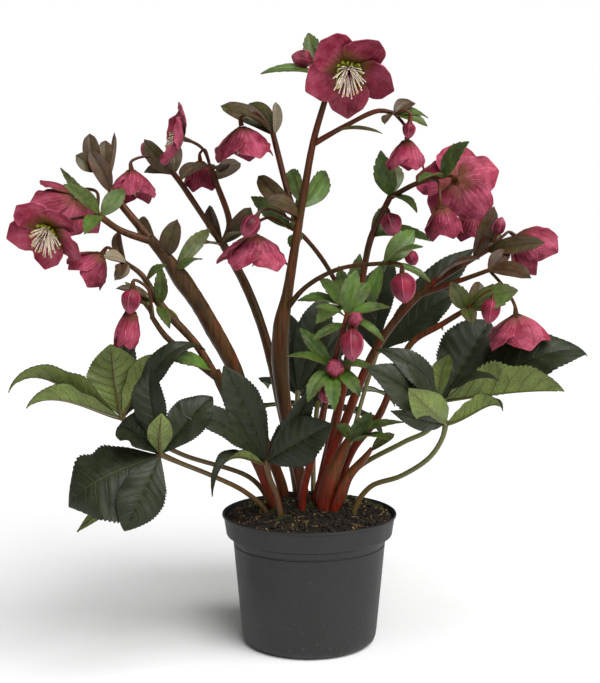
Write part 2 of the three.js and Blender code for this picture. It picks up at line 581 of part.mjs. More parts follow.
const LEAVES = {
  leaf_front_left: {
    petiole: [[-32, -22, 96, 2.2], [-38, -27, 120, 2.2], [-53, -38, 137, 2.1], [-78, -64, 156, 2],
      [-102, -90, 172, 2], [-116, -110, 183, 2.5]],
    leaflets: [
      [[-184, -116, 143], 36, [-0.1, -0.8, 0.6], 0.14, -0.35, 0.5],
      [[-140, -130, 128], 18, [0.1, -0.95, 0.2], 0.1, 0.2, 0.3],
      [[-180, -106, 121], 7, [0.1, 0.9, 0.2], 0.1, 0.2, 0.4],
      [[-112, -122, 216], 10, [-0.1, 0.9, 0.3], -0.1, 0.2, 0],
      [[-122, -92, 246], 15, [-0.3, -0.9, 0.3], 0.14, 0.4, 0.8],
      [[-76, -92, 224], 16, [0, -0.9, 0.4], 0.14, 0.25, 0.4],
      [[-148, -98, 202], 24, [0, -0.5, 0.87], 0.1, 0.7, 0.3],
    ],
  },
  leaf_left: {
    petiole: [[-30, -8, 96, 2.2], [-36, -12, 126, 2.2], [-50, -22, 146, 2.1], [-104, -50, 171, 2],
      [-130, -63, 188, 2], [-152, -70, 206, 2.5]],
    leaflets: [
      [[-235, -88, 227], 20, [0, 0.3, 0.95], 0.2, 0.9, 0.8],
      [[-219, -98, 216], 15, [0, 0.42, 0.9], 0.14, 0.9, 0.5],
      [[-160, -58, 262], 22, [-0.1, 0.95, 0.2], 0.04, 0.15, 0.2],
      [[-154, -24, 274], 12, [0.2, -0.95, 0.2], -0.1, 0.2, 0],
      [[-120, -66, 254], 13, [-0.3, 0.9, 0.3], 0.14, 0.2, 1],
      [[-84, -60, 258], 10, [0.1, -0.75, 0.65], 0.34, 0.2, 0.9],
    ],
  },
  leaf_front: {
    petiole: [[-22, -40, 96, 2.3], [-26, -42, 131, 2.3], [-33, -50, 153, 2.1], [-36, -58, 168, 2.5]],
    leaflets: [
      [[-68, -80, 247], 16, [0.2, -0.95, 0.2], 0.05, 0.15, 0],
      [[-106, -104, 216], 13, [-0.1, -0.7, 0.7], 0.14, 0.25, 0.2],
      [[-75, -112, 150], 9, [-0.4, -0.5, 0.8], 0.3, 0.8, 0.4],
      [[3, -84, 232], 11, [0.3, -0.8, 0.5], 0.08, 0.6, 0],
      [[17, -100, 204], 20, [0.1, -0.95, 0.3], 0.08, 0.15, 0.2],
    ],
  },
  leaf_front_right: {
    petiole: [[34, -27, 96, 2.4], [38, -30, 122, 2.4], [50, -40, 142, 2.2], [74, -62, 156, 2.1],
      [95, -80, 175, 2], [104, -86, 192, 2], [106, -88, 205, 2.5]],
    leaflets: [
      [[42, -118, 250], 19, [-0.3, -0.75, 0.6], 0.14, 0.3, 0.3],
      [[72, -138, 237], 13, [-0.1, 0.9, 0.3], -0.1, 0.2, 0],
      [[50, -104, 262], 13, [-0.2, -0.6, 0.8], 0.2, 0.3, 0.5],
      [[145, -118, 217], 13, [0, 0.4, 0.9], 0.14, 1.1, 1],
      [[60, -124, 218], 8, [-0.5, -0.8, 0.2], 0.16, 0.3, 0.2],
    ],
  },
  leaf_right: {
    petiole: [[27, 0, 96, 2.4], [30, -4, 126, 2.3], [39, -12, 150, 2.2], [77, -30, 177, 2.1],
      [100, -41, 192, 2], [107, -45, 217, 2.5]],
    leaflets: [
      [[150, -18, 278], 27, [-0.1, -0.85, 0.5], 0.06, 0.15, 0.2],
      [[226, -43, 251], 24, [0, -0.75, 0.65], 0.16, 0.15, 0.8],
      [[196, -96, 229], 30, [0, 0.36, 0.9], 0.03, 1.1, 0.3],
      [[147, -84, 236], 9, [0.2, -0.6, 0.8], 0.16, 0.3, 0.6],
      [[110, -66, 255], 9, [-0.2, 0.9, 0.3], 0.1, 0.2, 0],
      [[176, -14, 236], 14, [0.3, 0.2, 0.9], 0.12, 0.22, 0.3],
    ],
  },
  leaf_back_right: {
    petiole: [[27, 34, 96, 2.4], [31, 40, 122, 2.3], [39, 60, 164, 2.1], [52, 80, 207, 2],
      [64, 90, 243, 2.5]],
    teeth: 2,
    leaflets: [
      [[155, 112, 336], 18, [-0.4, -0.8, 0.4], 0.08, 0.2, 0.2],
      [[136, 82, 296], 19, [0, -0.7, 0.7], 0.1, 0.2, 0.3],
      [[80, 130, 326], 17, [-0.3, -0.5, 0.8], 0.12, 0.2, 0.3],
      [[132, 152, 256], 17, [0.4, 0.3, 0.9], 0.14, 0.25, 0.5],
      [[50, 168, 270], 16, [-0.2, 0.5, 0.8], 0.14, 0.25, 0.5],
    ],
  },
  leaf_back_left: {
    petiole: [[-12, 42, 96, 2.4], [-12, 45, 123, 2.3], [-12, 80, 164, 2.1], [-10, 96, 204, 2.5]],
    teeth: 2,
    leaflets: [
      [[-18, 122, 274], 15, [-0.3, -0.8, 0.5], 0.1, 0.2, 0.2],
      [[16, 116, 292], 17, [0.1, -0.9, 0.3], 0.1, 0.2, 0.2],
      [[36, 130, 262], 16, [0.3, -0.7, 0.6], 0.12, 0.25, 0.4],
      [[28, 176, 222], 16, [0.3, 0.3, 0.9], 0.14, 0.25, 0.5],
      [[-40, 172, 196], 17, [-0.3, 0.4, 0.9], 0.16, 0.25, 0.5],
    ],
  },
  leaf_back: {
    petiole: [[4, 46, 96, 2.4], [4, 52, 123, 2.3], [5, 90, 158, 2.1], [9, 125, 189, 2.5]],
    teeth: 2,
    leaflets: [
      [[-66, 160, 158], 17, [-0.2, 0.2, 0.9], 0.16, 0.25, 0.5],
      [[-30, 208, 184], 18, [0, 0.3, 0.9], 0.14, 0.25, 0.5],
      [[34, 212, 198], 18, [0.1, 0.3, 0.9], 0.14, 0.25, 0.5],
      [[88, 184, 176], 18, [0.2, 0.2, 0.9], 0.16, 0.25, 0.5],
      [[72, 128, 150], 14, [0.4, -0.1, 0.9], 0.18, 0.25, 0.4],
    ],
  },
};

// ---- flowers and buds ---------------------------------------------------------------------
// route holds the points of the flower stalk before it turns into the flower's own axis.

const FLOWERS = {
  flower_top: {
    stem: "stem_f", route: [[13, -21, 461], [24, -18, 472]], centre: [31, -30, 483],
    facing: [0.0, -1, -0.66], length: 38, open: [2, 44], turn: 0.94, core: true,
  },
  flower_left: {
    stem: "stem_b", route: [[-168, -59, 365], [-188, -58, 362]], centre: [-205, -68, 354],
    facing: [-0.3, -0.85, -0.6], length: 32, open: [4, 40], turn: 0.66, core: true,
  },
  flower_left_behind: {
    stem: "stem_b", route: [[-169, -59, 365], [-172, -42, 384]], centre: [-192, -28, 381],
    facing: [-0.55, 0.45, -0.6], length: 35, open: [10, 50], turn: 0.2,
  },
  flower_bell_left: {
    stem: "stem_d", route: [[-124, 43, 407], [-138, 34, 417]], centre: [-153, 24, 405],
    facing: [0.05, -0.15, -1], length: 32, open: [30, 80], turn: 0.9,
  },
  flower_wing: {
    stem: "stem_d", route: [[-86, 40, 408], [-91, 28, 422]], centre: [-106, 8, 430],
    facing: [-0.9, -0.2, 0.3], length: 29, open: [8, 46], turn: 0.1, core: true,
  },
  flower_nodding_left: {
    stem: "stem_f", route: [[-31, 14, 434], [-46, 9, 452]], centre: [-57, 3, 440],
    facing: [0.12, 0.05, -1], length: 35, open: [28, 72], turn: 0.4,
  },
  flower_nodding_middle: {
    stem: "stem_g", route: [[-17, 24, 355], [-34, 12, 364]], centre: [-46, -2, 350],
    facing: [-0.05, 0.14, -1], length: 39, open: [24, 64], turn: 0.15,
  },
  flower_low_left: {
    stem: "stem_a", route: [[-147, -56, 327], [-157, -53, 336]], centre: [-167, -50, 334],
    facing: [-0.62, 0, -0.75], length: 29, open: [34, 84], turn: 0.7,
  },
  flower_right_back: {
    stem: "stem_i", route: [[112, -8, 398], [118, -14, 398]], centre: [123, -2, 395],
    facing: [0.25, 0.9, -0.25], length: 38, open: [8, 40], turn: 0.25, core: true,
  },
  flower_right_low: {
    stem: "stem_i", route: [[100, 0, 396], [106, -22, 392]], centre: [107, -32, 373],
    facing: [0.15, 0.1, -1], length: 28, open: [42, 84], turn: 0.6,
  },
  flower_right_dark: {
    stem: "stem_i", route: [[69, 24, 381], [100, 44, 394], [132, 38, 388]], centre: [140, 36, 370],
    facing: [0, 0.3, -1], length: 26, open: [40, 82], turn: 0.2, dark: true,
  },
  flower_far_right: {
    stem: "stem_j", route: [[150, -14, 338], [162, -12, 349]], centre: [172, -10, 348],
    facing: [0.8, 0.1, -0.55], length: 38, open: [18, 96], turn: 0.35, core: true,
  },
  flower_low_right: {
    stem: "stem_j", route: [[146, -36, 321], [157, -42, 308]], centre: [165, -56, 286],
    facing: [0.15, 0.12, -1], length: 33, open: [26, 62], turn: 0.8, core: true,
  },
  flower_upper_right: {
    stem: "stem_f", route: [[69, -24, 448], [77, -20, 440]], centre: [80, -18, 427],
    facing: [0, 0, -1], length: 27, open: [40, 84], turn: 0.5,
  },
  flower_half_open: {
    stem: "stem_a", route: [[-123, -79, 284], [-128, -85, 296]], centre: [-139, -86, 291],
    facing: [-0.15, -0.1, -1], length: 29, open: [58, 100], turn: 0.4,
  },
  flower_hanging: {
    stem: "stem_d", route: [[-86, 40, 408], [-92, 48, 424]], centre: [-96, 50, 414],
    facing: [0, 0.2, -1], length: 27, open: [42, 86], turn: 0.1, dark: true,
  },
};

const BUDS = {
  bud_top: {
    stem: "stem_f", route: [[7, -6, 490]],
    base: [1, -9, 492], facing: [-0.9, -0.3, 0.2], length: 17, radius: 7,
  },
  bud_left: {
    stem: "stem_d", route: [[-129, 42, 413]],
    base: [-134, 42, 418], facing: [-0.7, -0.1, 0.6], length: 16, radius: 7,
  },
  bud_arching: {
    stem: "stem_f", route: [[58, -53, 327], [68, -59, 327]],
    base: [73, -63, 319], facing: [0.1, -0.1, -1], length: 24, radius: 9.5,
  },
  bud_small_upper: {
    stem: "stem_m", route: [[29, -82, 287]],
    base: [34, -90, 283], facing: [0.1, -0.9, 0.35], length: 13, radius: 5,
  },
  bud_large: {
    stem: "stem_m", route: [[27, -83, 280], [30, -90, 282]],
    base: [32, -93, 276], facing: [0, -0.4, -0.9], length: 25, radius: 8.4,
  },
  bud_round: {
    stem: "stem_m", route: [[17, -79, 246]],
    base: [19, -88, 246], facing: [0.05, -1, 0.2], length: 12, radius: 6.6,
  },
  bud_lowest: {
    stem: "stem_m", route: [[14, -72, 226]],
    base: [13, -79, 227], facing: [-0.1, -0.9, -0.4], length: 13, radius: 5.6,
  },
  bud_right: {
    stem: "stem_i", route: [[54, 38, 346], [62, 22, 364]],
    base: [68, 14, 366], facing: [0.2, -0.5, -0.8], length: 20, radius: 8.5,
  },
  bud_small_right: {
    stem: "stem_f", route: [[58, -53, 327], [72, -44, 338]],
    base: [80, -38, 336], facing: [0.4, 0.2, -0.7], length: 13, radius: 5,
  },
  bud_far_right: {
    stem: "stem_j", route: [[137, -14, 331], [144, -24, 346]],
    base: [152, -30, 350], facing: [0.3, -0.3, 0.9], length: 15, radius: 5,
  },
  bud_low_right: {
    stem: "stem_k", route: [[127, -58, 291], [140, -66, 304]],
    base: [144, -69, 299], facing: [-0.2, -0.2, -1], length: 20, radius: 7,
  },
  bud_middle: {
    stem: "stem_f", route: [[-9, -6, 358], [-32, -14, 370]],
    base: [-44, -20, 364], facing: [-0.5, -0.3, -0.75], length: 20, radius: 7.5,
  },
  bud_upper_right: {
    stem: "stem_f", route: [[69, -24, 447], [77, -29, 450]],
    base: [81, -30, 440], facing: [-0.1, -0.1, -1], length: 13, radius: 4.8,
  },
  bud_low_left: {
    stem: "stem_a", route: [[-124, -80, 285], [-125, -92, 308]],
    base: [-136, -97, 308], facing: [-0.15, 0, -1], length: 19, radius: 7,
  },
};

/** A flower's or bud's own stalk, which ends in a small flat disc under it. */
function pedicel(route, end, facing, grow) {
  const axis = vec(facing).normalize();
  const back = (distance) => vec(end).addScaledVector(axis, -distance).toArray();
  const points = [
    ...route.map((point) => [...point, PEDICEL.radius]),
    [...back(PEDICEL.straight), PEDICEL.radius],
    [...back(CLEARANCE), PEDICEL.disc],
  ];
  return stalk(points, SIDES.twig, grow);
}

function makeStem(name, grow = 0) {
  const { stalks, bracts } = STEMS[name];
  const solids = stalks.map((points, i) => stalk(points, i === 0 ? SIDES.stem : SIDES.branch, grow));
  bracts.forEach(([base, tip, halfWidth, face]) => {
    solids.push(blade({ base, tip, halfWidth, face, fold: BRACT.fold }, grow));
  });
  Object.values(FLOWERS).filter((flower) => flower.stem === name).forEach((flower) => {
    solids.push(pedicel(flower.route, flower.centre, flower.facing, grow));
  });
  Object.values(BUDS).filter((bud) => bud.stem === name).forEach((bud) => {
    solids.push(pedicel(bud.route, bud.base, bud.facing, grow));
  });
  return joined(solids);
}

function makeLeaf(name, grow = 0) {
  const { petiole, leaflets, teeth = LEAFLET.teeth } = LEAVES[name];
  const [below, end] = petiole.slice(-2).map(vec);
  const node = end.clone().addScaledVector(end.clone().sub(below).normalize(), -LEAFLET.root).toArray();
  const solids = [stalk(petiole, SIDES.branch, grow)];
  leaflets.forEach(([tip, halfWidth, face, arch, fold, hook]) => {
    const outline = { base: node, tip, halfWidth, teeth, widest: LEAFLET.widest, fullness: 0.85 };
    solids.push(blade({ ...outline, face, arch, fold, hook }, grow));
  });
  return joined(solids);
}

function makeFlower(name, grow = 0) {
  const flower = FLOWERS[name];
  const hub = [[HUB.foot, -grow], [HUB.top, HUB.height + grow]];
  const solids = [turned(flower.centre, flower.facing, hub, SEPALS, flower.turn + Math.PI / SEPALS, grow)];
  for (let i = 0; i < SEPALS; i += 1) {
    solids.push(sepal(flower, flower.turn + (2 * Math.PI * i) / SEPALS, grow));
  }
  return joined(solids);
}

/** The seed case and the stamens of an open flower. */
function makeCore(name, grow = 0) {
  const { centre, facing, turn, length, open } = FLOWERS[name];
  const spread = length * (0.1 + 0.18 * Math.cos(THREE.MathUtils.degToRad(open[1])));
  const { axis, right, up } = directions(facing);
  const seat = vec(centre).addScaledVector(axis, HUB.height + CLEARANCE);
  const step = (2 * Math.PI) / STAMENS.count;
  const { seedCase, count } = STAMENS;
  const solids = [turned(seat.toArray(), facing, seedCase, count, turn + step / 2, grow)];
  for (let i = 0; i < count; i += 1) {
    const angle = turn + step * i;
    const out = right.clone().multiplyScalar(Math.cos(angle)).addScaledVector(up, Math.sin(angle));
    const root = seat.clone().addScaledVector(out, 1.2).addScaledVector(axis, 1.4);
    const end = seat.clone().addScaledVector(out, spread).addScaledVector(axis, length * STAMENS.height);
    const points = [[...root.toArray(), STAMENS.root], [...end.toArray(), STAMENS.anther]];
    solids.push(stalk(points, SIDES.stamen, grow));
  }
  return joined(solids);
}

function makeBud(name, grow = 0) {
  const { base, facing, length, radius } = BUDS[name];
  const profile = [
    [radius * 0.4, -grow],
    [radius, length * 0.36],
    [radius * 0.7, length * 0.78],
    [0, length + grow],
  ];
  return turned(base, facing, profile, SIDES.bud, 0, grow);
}

// ---- putting the plant together -----------------------------------------------------------

const plant = new THREE.Group();
const placed = [];

const overlapping = (a, b) => {
  const [boxA, boxB] = [a.boundingBox(), b.boundingBox()];
  const apart = [0, 1, 2].some((i) => boxA.min[i] > boxB.max[i] || boxB.min[i] > boxA.max[i]);
  return !apart && a.intersect(b).volume() > 1e-4;
};

/** Places a piece after it has been cut clear of the pieces already there. */
function place(name, make, look) {
  let solid = make(name);
  placed.forEach((other) => {
    if (!overlapping(solid, other.solid)) return;
    solid = solid.subtract(other.make(other.name, CLEARANCE));
  });
  solid = largestBody(solid);
  placed.push({ name, solid, make });
  const material = new THREE.MeshStandardMaterial({ ...look, metalness: 0 });
  const mesh = new THREE.Mesh(geometryFromSolid(solid), material);
  mesh.name = name;
  plant.add(mesh);
}

place("pot", makePot, LOOKS.pot);
Object.keys(STEMS).forEach((name) => place(name, makeStem, LOOKS.stem));
Object.keys(LEAVES).forEach((name) => place(name, makeLeaf, LOOKS.leaf));
place("soil", makeSoil, LOOKS.soil);
Object.entries(FLOWERS).forEach(([name, { dark }]) => {
  place(name, makeFlower, dark ? LOOKS.darkPetal : LOOKS.petal);
});
Object.keys(BUDS).forEach((name) => place(name, makeBud, LOOKS.bud));
Object.keys(FLOWERS).filter((name) => FLOWERS[name].core).forEach((name) => {
  const makeStamens = (_, grow) => makeCore(name, grow);
  place(name.replace("flower", "stamens"), makeStamens, LOOKS.stamens);
});

export default plant;
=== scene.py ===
"""Looks for a hellebore in its nursery pot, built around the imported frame.

Blender works in metres. The plant's own measures are in millimetres, and MM makes them metres.
"""
import math
import random

import bpy
from bpy.props import FloatProperty, FloatVectorProperty, IntProperty, PointerProperty
from mathutils import Matrix, Vector, noise


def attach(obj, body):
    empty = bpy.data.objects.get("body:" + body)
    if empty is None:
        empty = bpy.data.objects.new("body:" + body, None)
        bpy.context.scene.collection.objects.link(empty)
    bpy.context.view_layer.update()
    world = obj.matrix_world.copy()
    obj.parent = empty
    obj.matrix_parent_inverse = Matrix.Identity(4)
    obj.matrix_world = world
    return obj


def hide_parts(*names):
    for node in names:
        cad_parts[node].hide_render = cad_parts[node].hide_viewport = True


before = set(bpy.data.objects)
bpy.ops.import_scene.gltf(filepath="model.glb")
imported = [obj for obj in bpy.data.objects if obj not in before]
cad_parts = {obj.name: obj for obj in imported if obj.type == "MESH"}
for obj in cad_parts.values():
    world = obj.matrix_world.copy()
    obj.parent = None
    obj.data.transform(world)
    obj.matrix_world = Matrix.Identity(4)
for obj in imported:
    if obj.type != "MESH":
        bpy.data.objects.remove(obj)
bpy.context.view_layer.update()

bl_info = {
    "name": "Potted hellebore",
    "version": (1, 0, 0),
    "blender": (4, 5, 0),
    "location": "3D View > Sidebar > Hellebore",
    "description": "Builds a hellebore in its nursery pot, piece by piece",
    "category": "Add Mesh",
}

MM = 0.001


def paint(red, green, blue):
    """A screen colour, each part from 0 to 255, as the linear colour that shaders use."""
    return (*((part / 255) ** 2.2 for part in (red, green, blue)), 1)


# ---- the plant's measures, in millimetres ---------------------------------------------------

POT = {
    "rim_radius": 75, "foot_radius": 58, "height": 112, "band_height": 18, "wall": 1.5,
    "floor": 2.4, "sides": 128, "drain_count": 4, "drain_radius": 5, "drain_ring": 44,
    "drill": (-4, 6),
}
SOIL = {
    "edge_height": 108, "middle_height": 122, "dome": 2.4, "edge_radius": 71.3, "sides": 160,
    "rings": 44, "lift": 0.3, "margin": 2.5,
}
CRUMB = {"sizes": (0.7, 2.6), "lift": 0.2}
GRIT = {"sizes": (0.4, 1.3), "lift": 0.4}
FIBRE = {"count": 90, "reach": 66, "points": 6, "lift": 0.9, "margin": 3}
MOSS = {
    "cushions": 14, "nearest": 20, "farthest": 64, "sprigs": 46, "spread": 5.5, "sink": 0.3,
    "margin": 2,
}
PEDICEL = {"radius": 1.35, "disc": 2.3, "straight": 7, "gap": 0.32}
BRACT = {
    "widest": 0.5, "fullness": 0.8, "narrowest": 0.5, "fold": 0.35, "droop": 0.06,
    "twist": 0.5, "sway": 0.05, "wave": 0.07, "waves": 0.9,
    "arch": 0.1, "teeth": 8, "tooth": 0.16,
}
RIPE_BRACT = {**BRACT, "widest": 0.54, "fullness": 0.62, "fold": 0.5, "twist": 0.3, "wave": 0.05}
LEAFLET = {
    "widest": 0.58, "fullness": 0.85, "narrowest": 0.5, "fold": 0.22, "droop": 0.05,
    "twist": 0.3, "sway": 0.03, "wave": 0.13, "waves": 1.5,
    "root": 2.5, "teeth": 28, "tooth": 0.075, "veins": 9, "slant": 1.7,
}
RIB = {"points": 20, "radius": 1.2, "taper": 0.05, "sink": 0.15}
RIPE_FROM = 0.45
SEPALS = 5
SEPAL = {
    "reach": 3, "rise": 1.2, "breadth": 0.46, "neck": 1.6, "slant": 0.2, "flattest": 0.12,
    "hub_top": 5.4, "wave": 0.085,
}
CENTRE = {
    "nectaries": 15, "seed_cases": 4, "usual_length": 36, "sag": 0.15, "thread": 0.48,
    "taper": 0.08, "steps": 6, "anther": 0.9, "shed_anther": 0.6, "shed_from": 0.7,
}
GOLDEN_ANGLE = math.radians(137.5)
BUD = {"fullest": 0.36, "wrap": 47, "overlap": 0.55}

# A flower's hub as [height, radius], and a bud's core as the same in shares of the bud's size.

HUB = [[0, 3.2], [0.6, 4.4], [1.7, 5.4], [2.4, 4.4]]
BUD_CORE = [[0, 0.36], [0.2, 0.66], [0.5, 0.66], [0.8, 0.42], [0.96, 0.16]]

# How many squares each flat template has, along and across.

SQUARES = {
    "bract": (3 * BRACT["teeth"], 10), "ripe bract": (18, 10),
    "leaflet": (3 * LEAFLET["teeth"], 14), "sepal": (26, 18), "bud sepal": (18, 10),
}

# Edges that bend more than this many degrees stay sharp.

CREASE = {"usual": 50, "pot": 32, "compost": 180, "sepals": 60}
SEEDS = {"grain": 5, "soil": 21, "stems": 31, "leaves": 41, "flowers": 51, "buds": 61}

# Angles are in degrees. The camera and the floor are measured in metres.

LIGHT = {"ambient": 0.2, "backdrop": 1, "key": 4.3, "softness": 60, "tilt": 43, "turn": 42}
FLOOR = {"sides": 96, "radius": 8, "height": -0.0004}
CAMERA = {"place": (-0.008, -1.0, 0.35), "pitch": 5.2, "sensor": 36, "lens": 62.2}


def rows(fields, table):
    """Names the fields of each row of a table."""
    return {name: dict(zip(fields, row)) for name, row in table.items()}


# redness is how red a stem is at its foot, from 0 for brown to 1 for red. Each stalk is a list of
# points [x, y, z, radius] from its foot to its end. Each bract is [base, tip, half width,
# direction its face looks in, ripeness]: 0 is green, 1 brown, 2 dry.

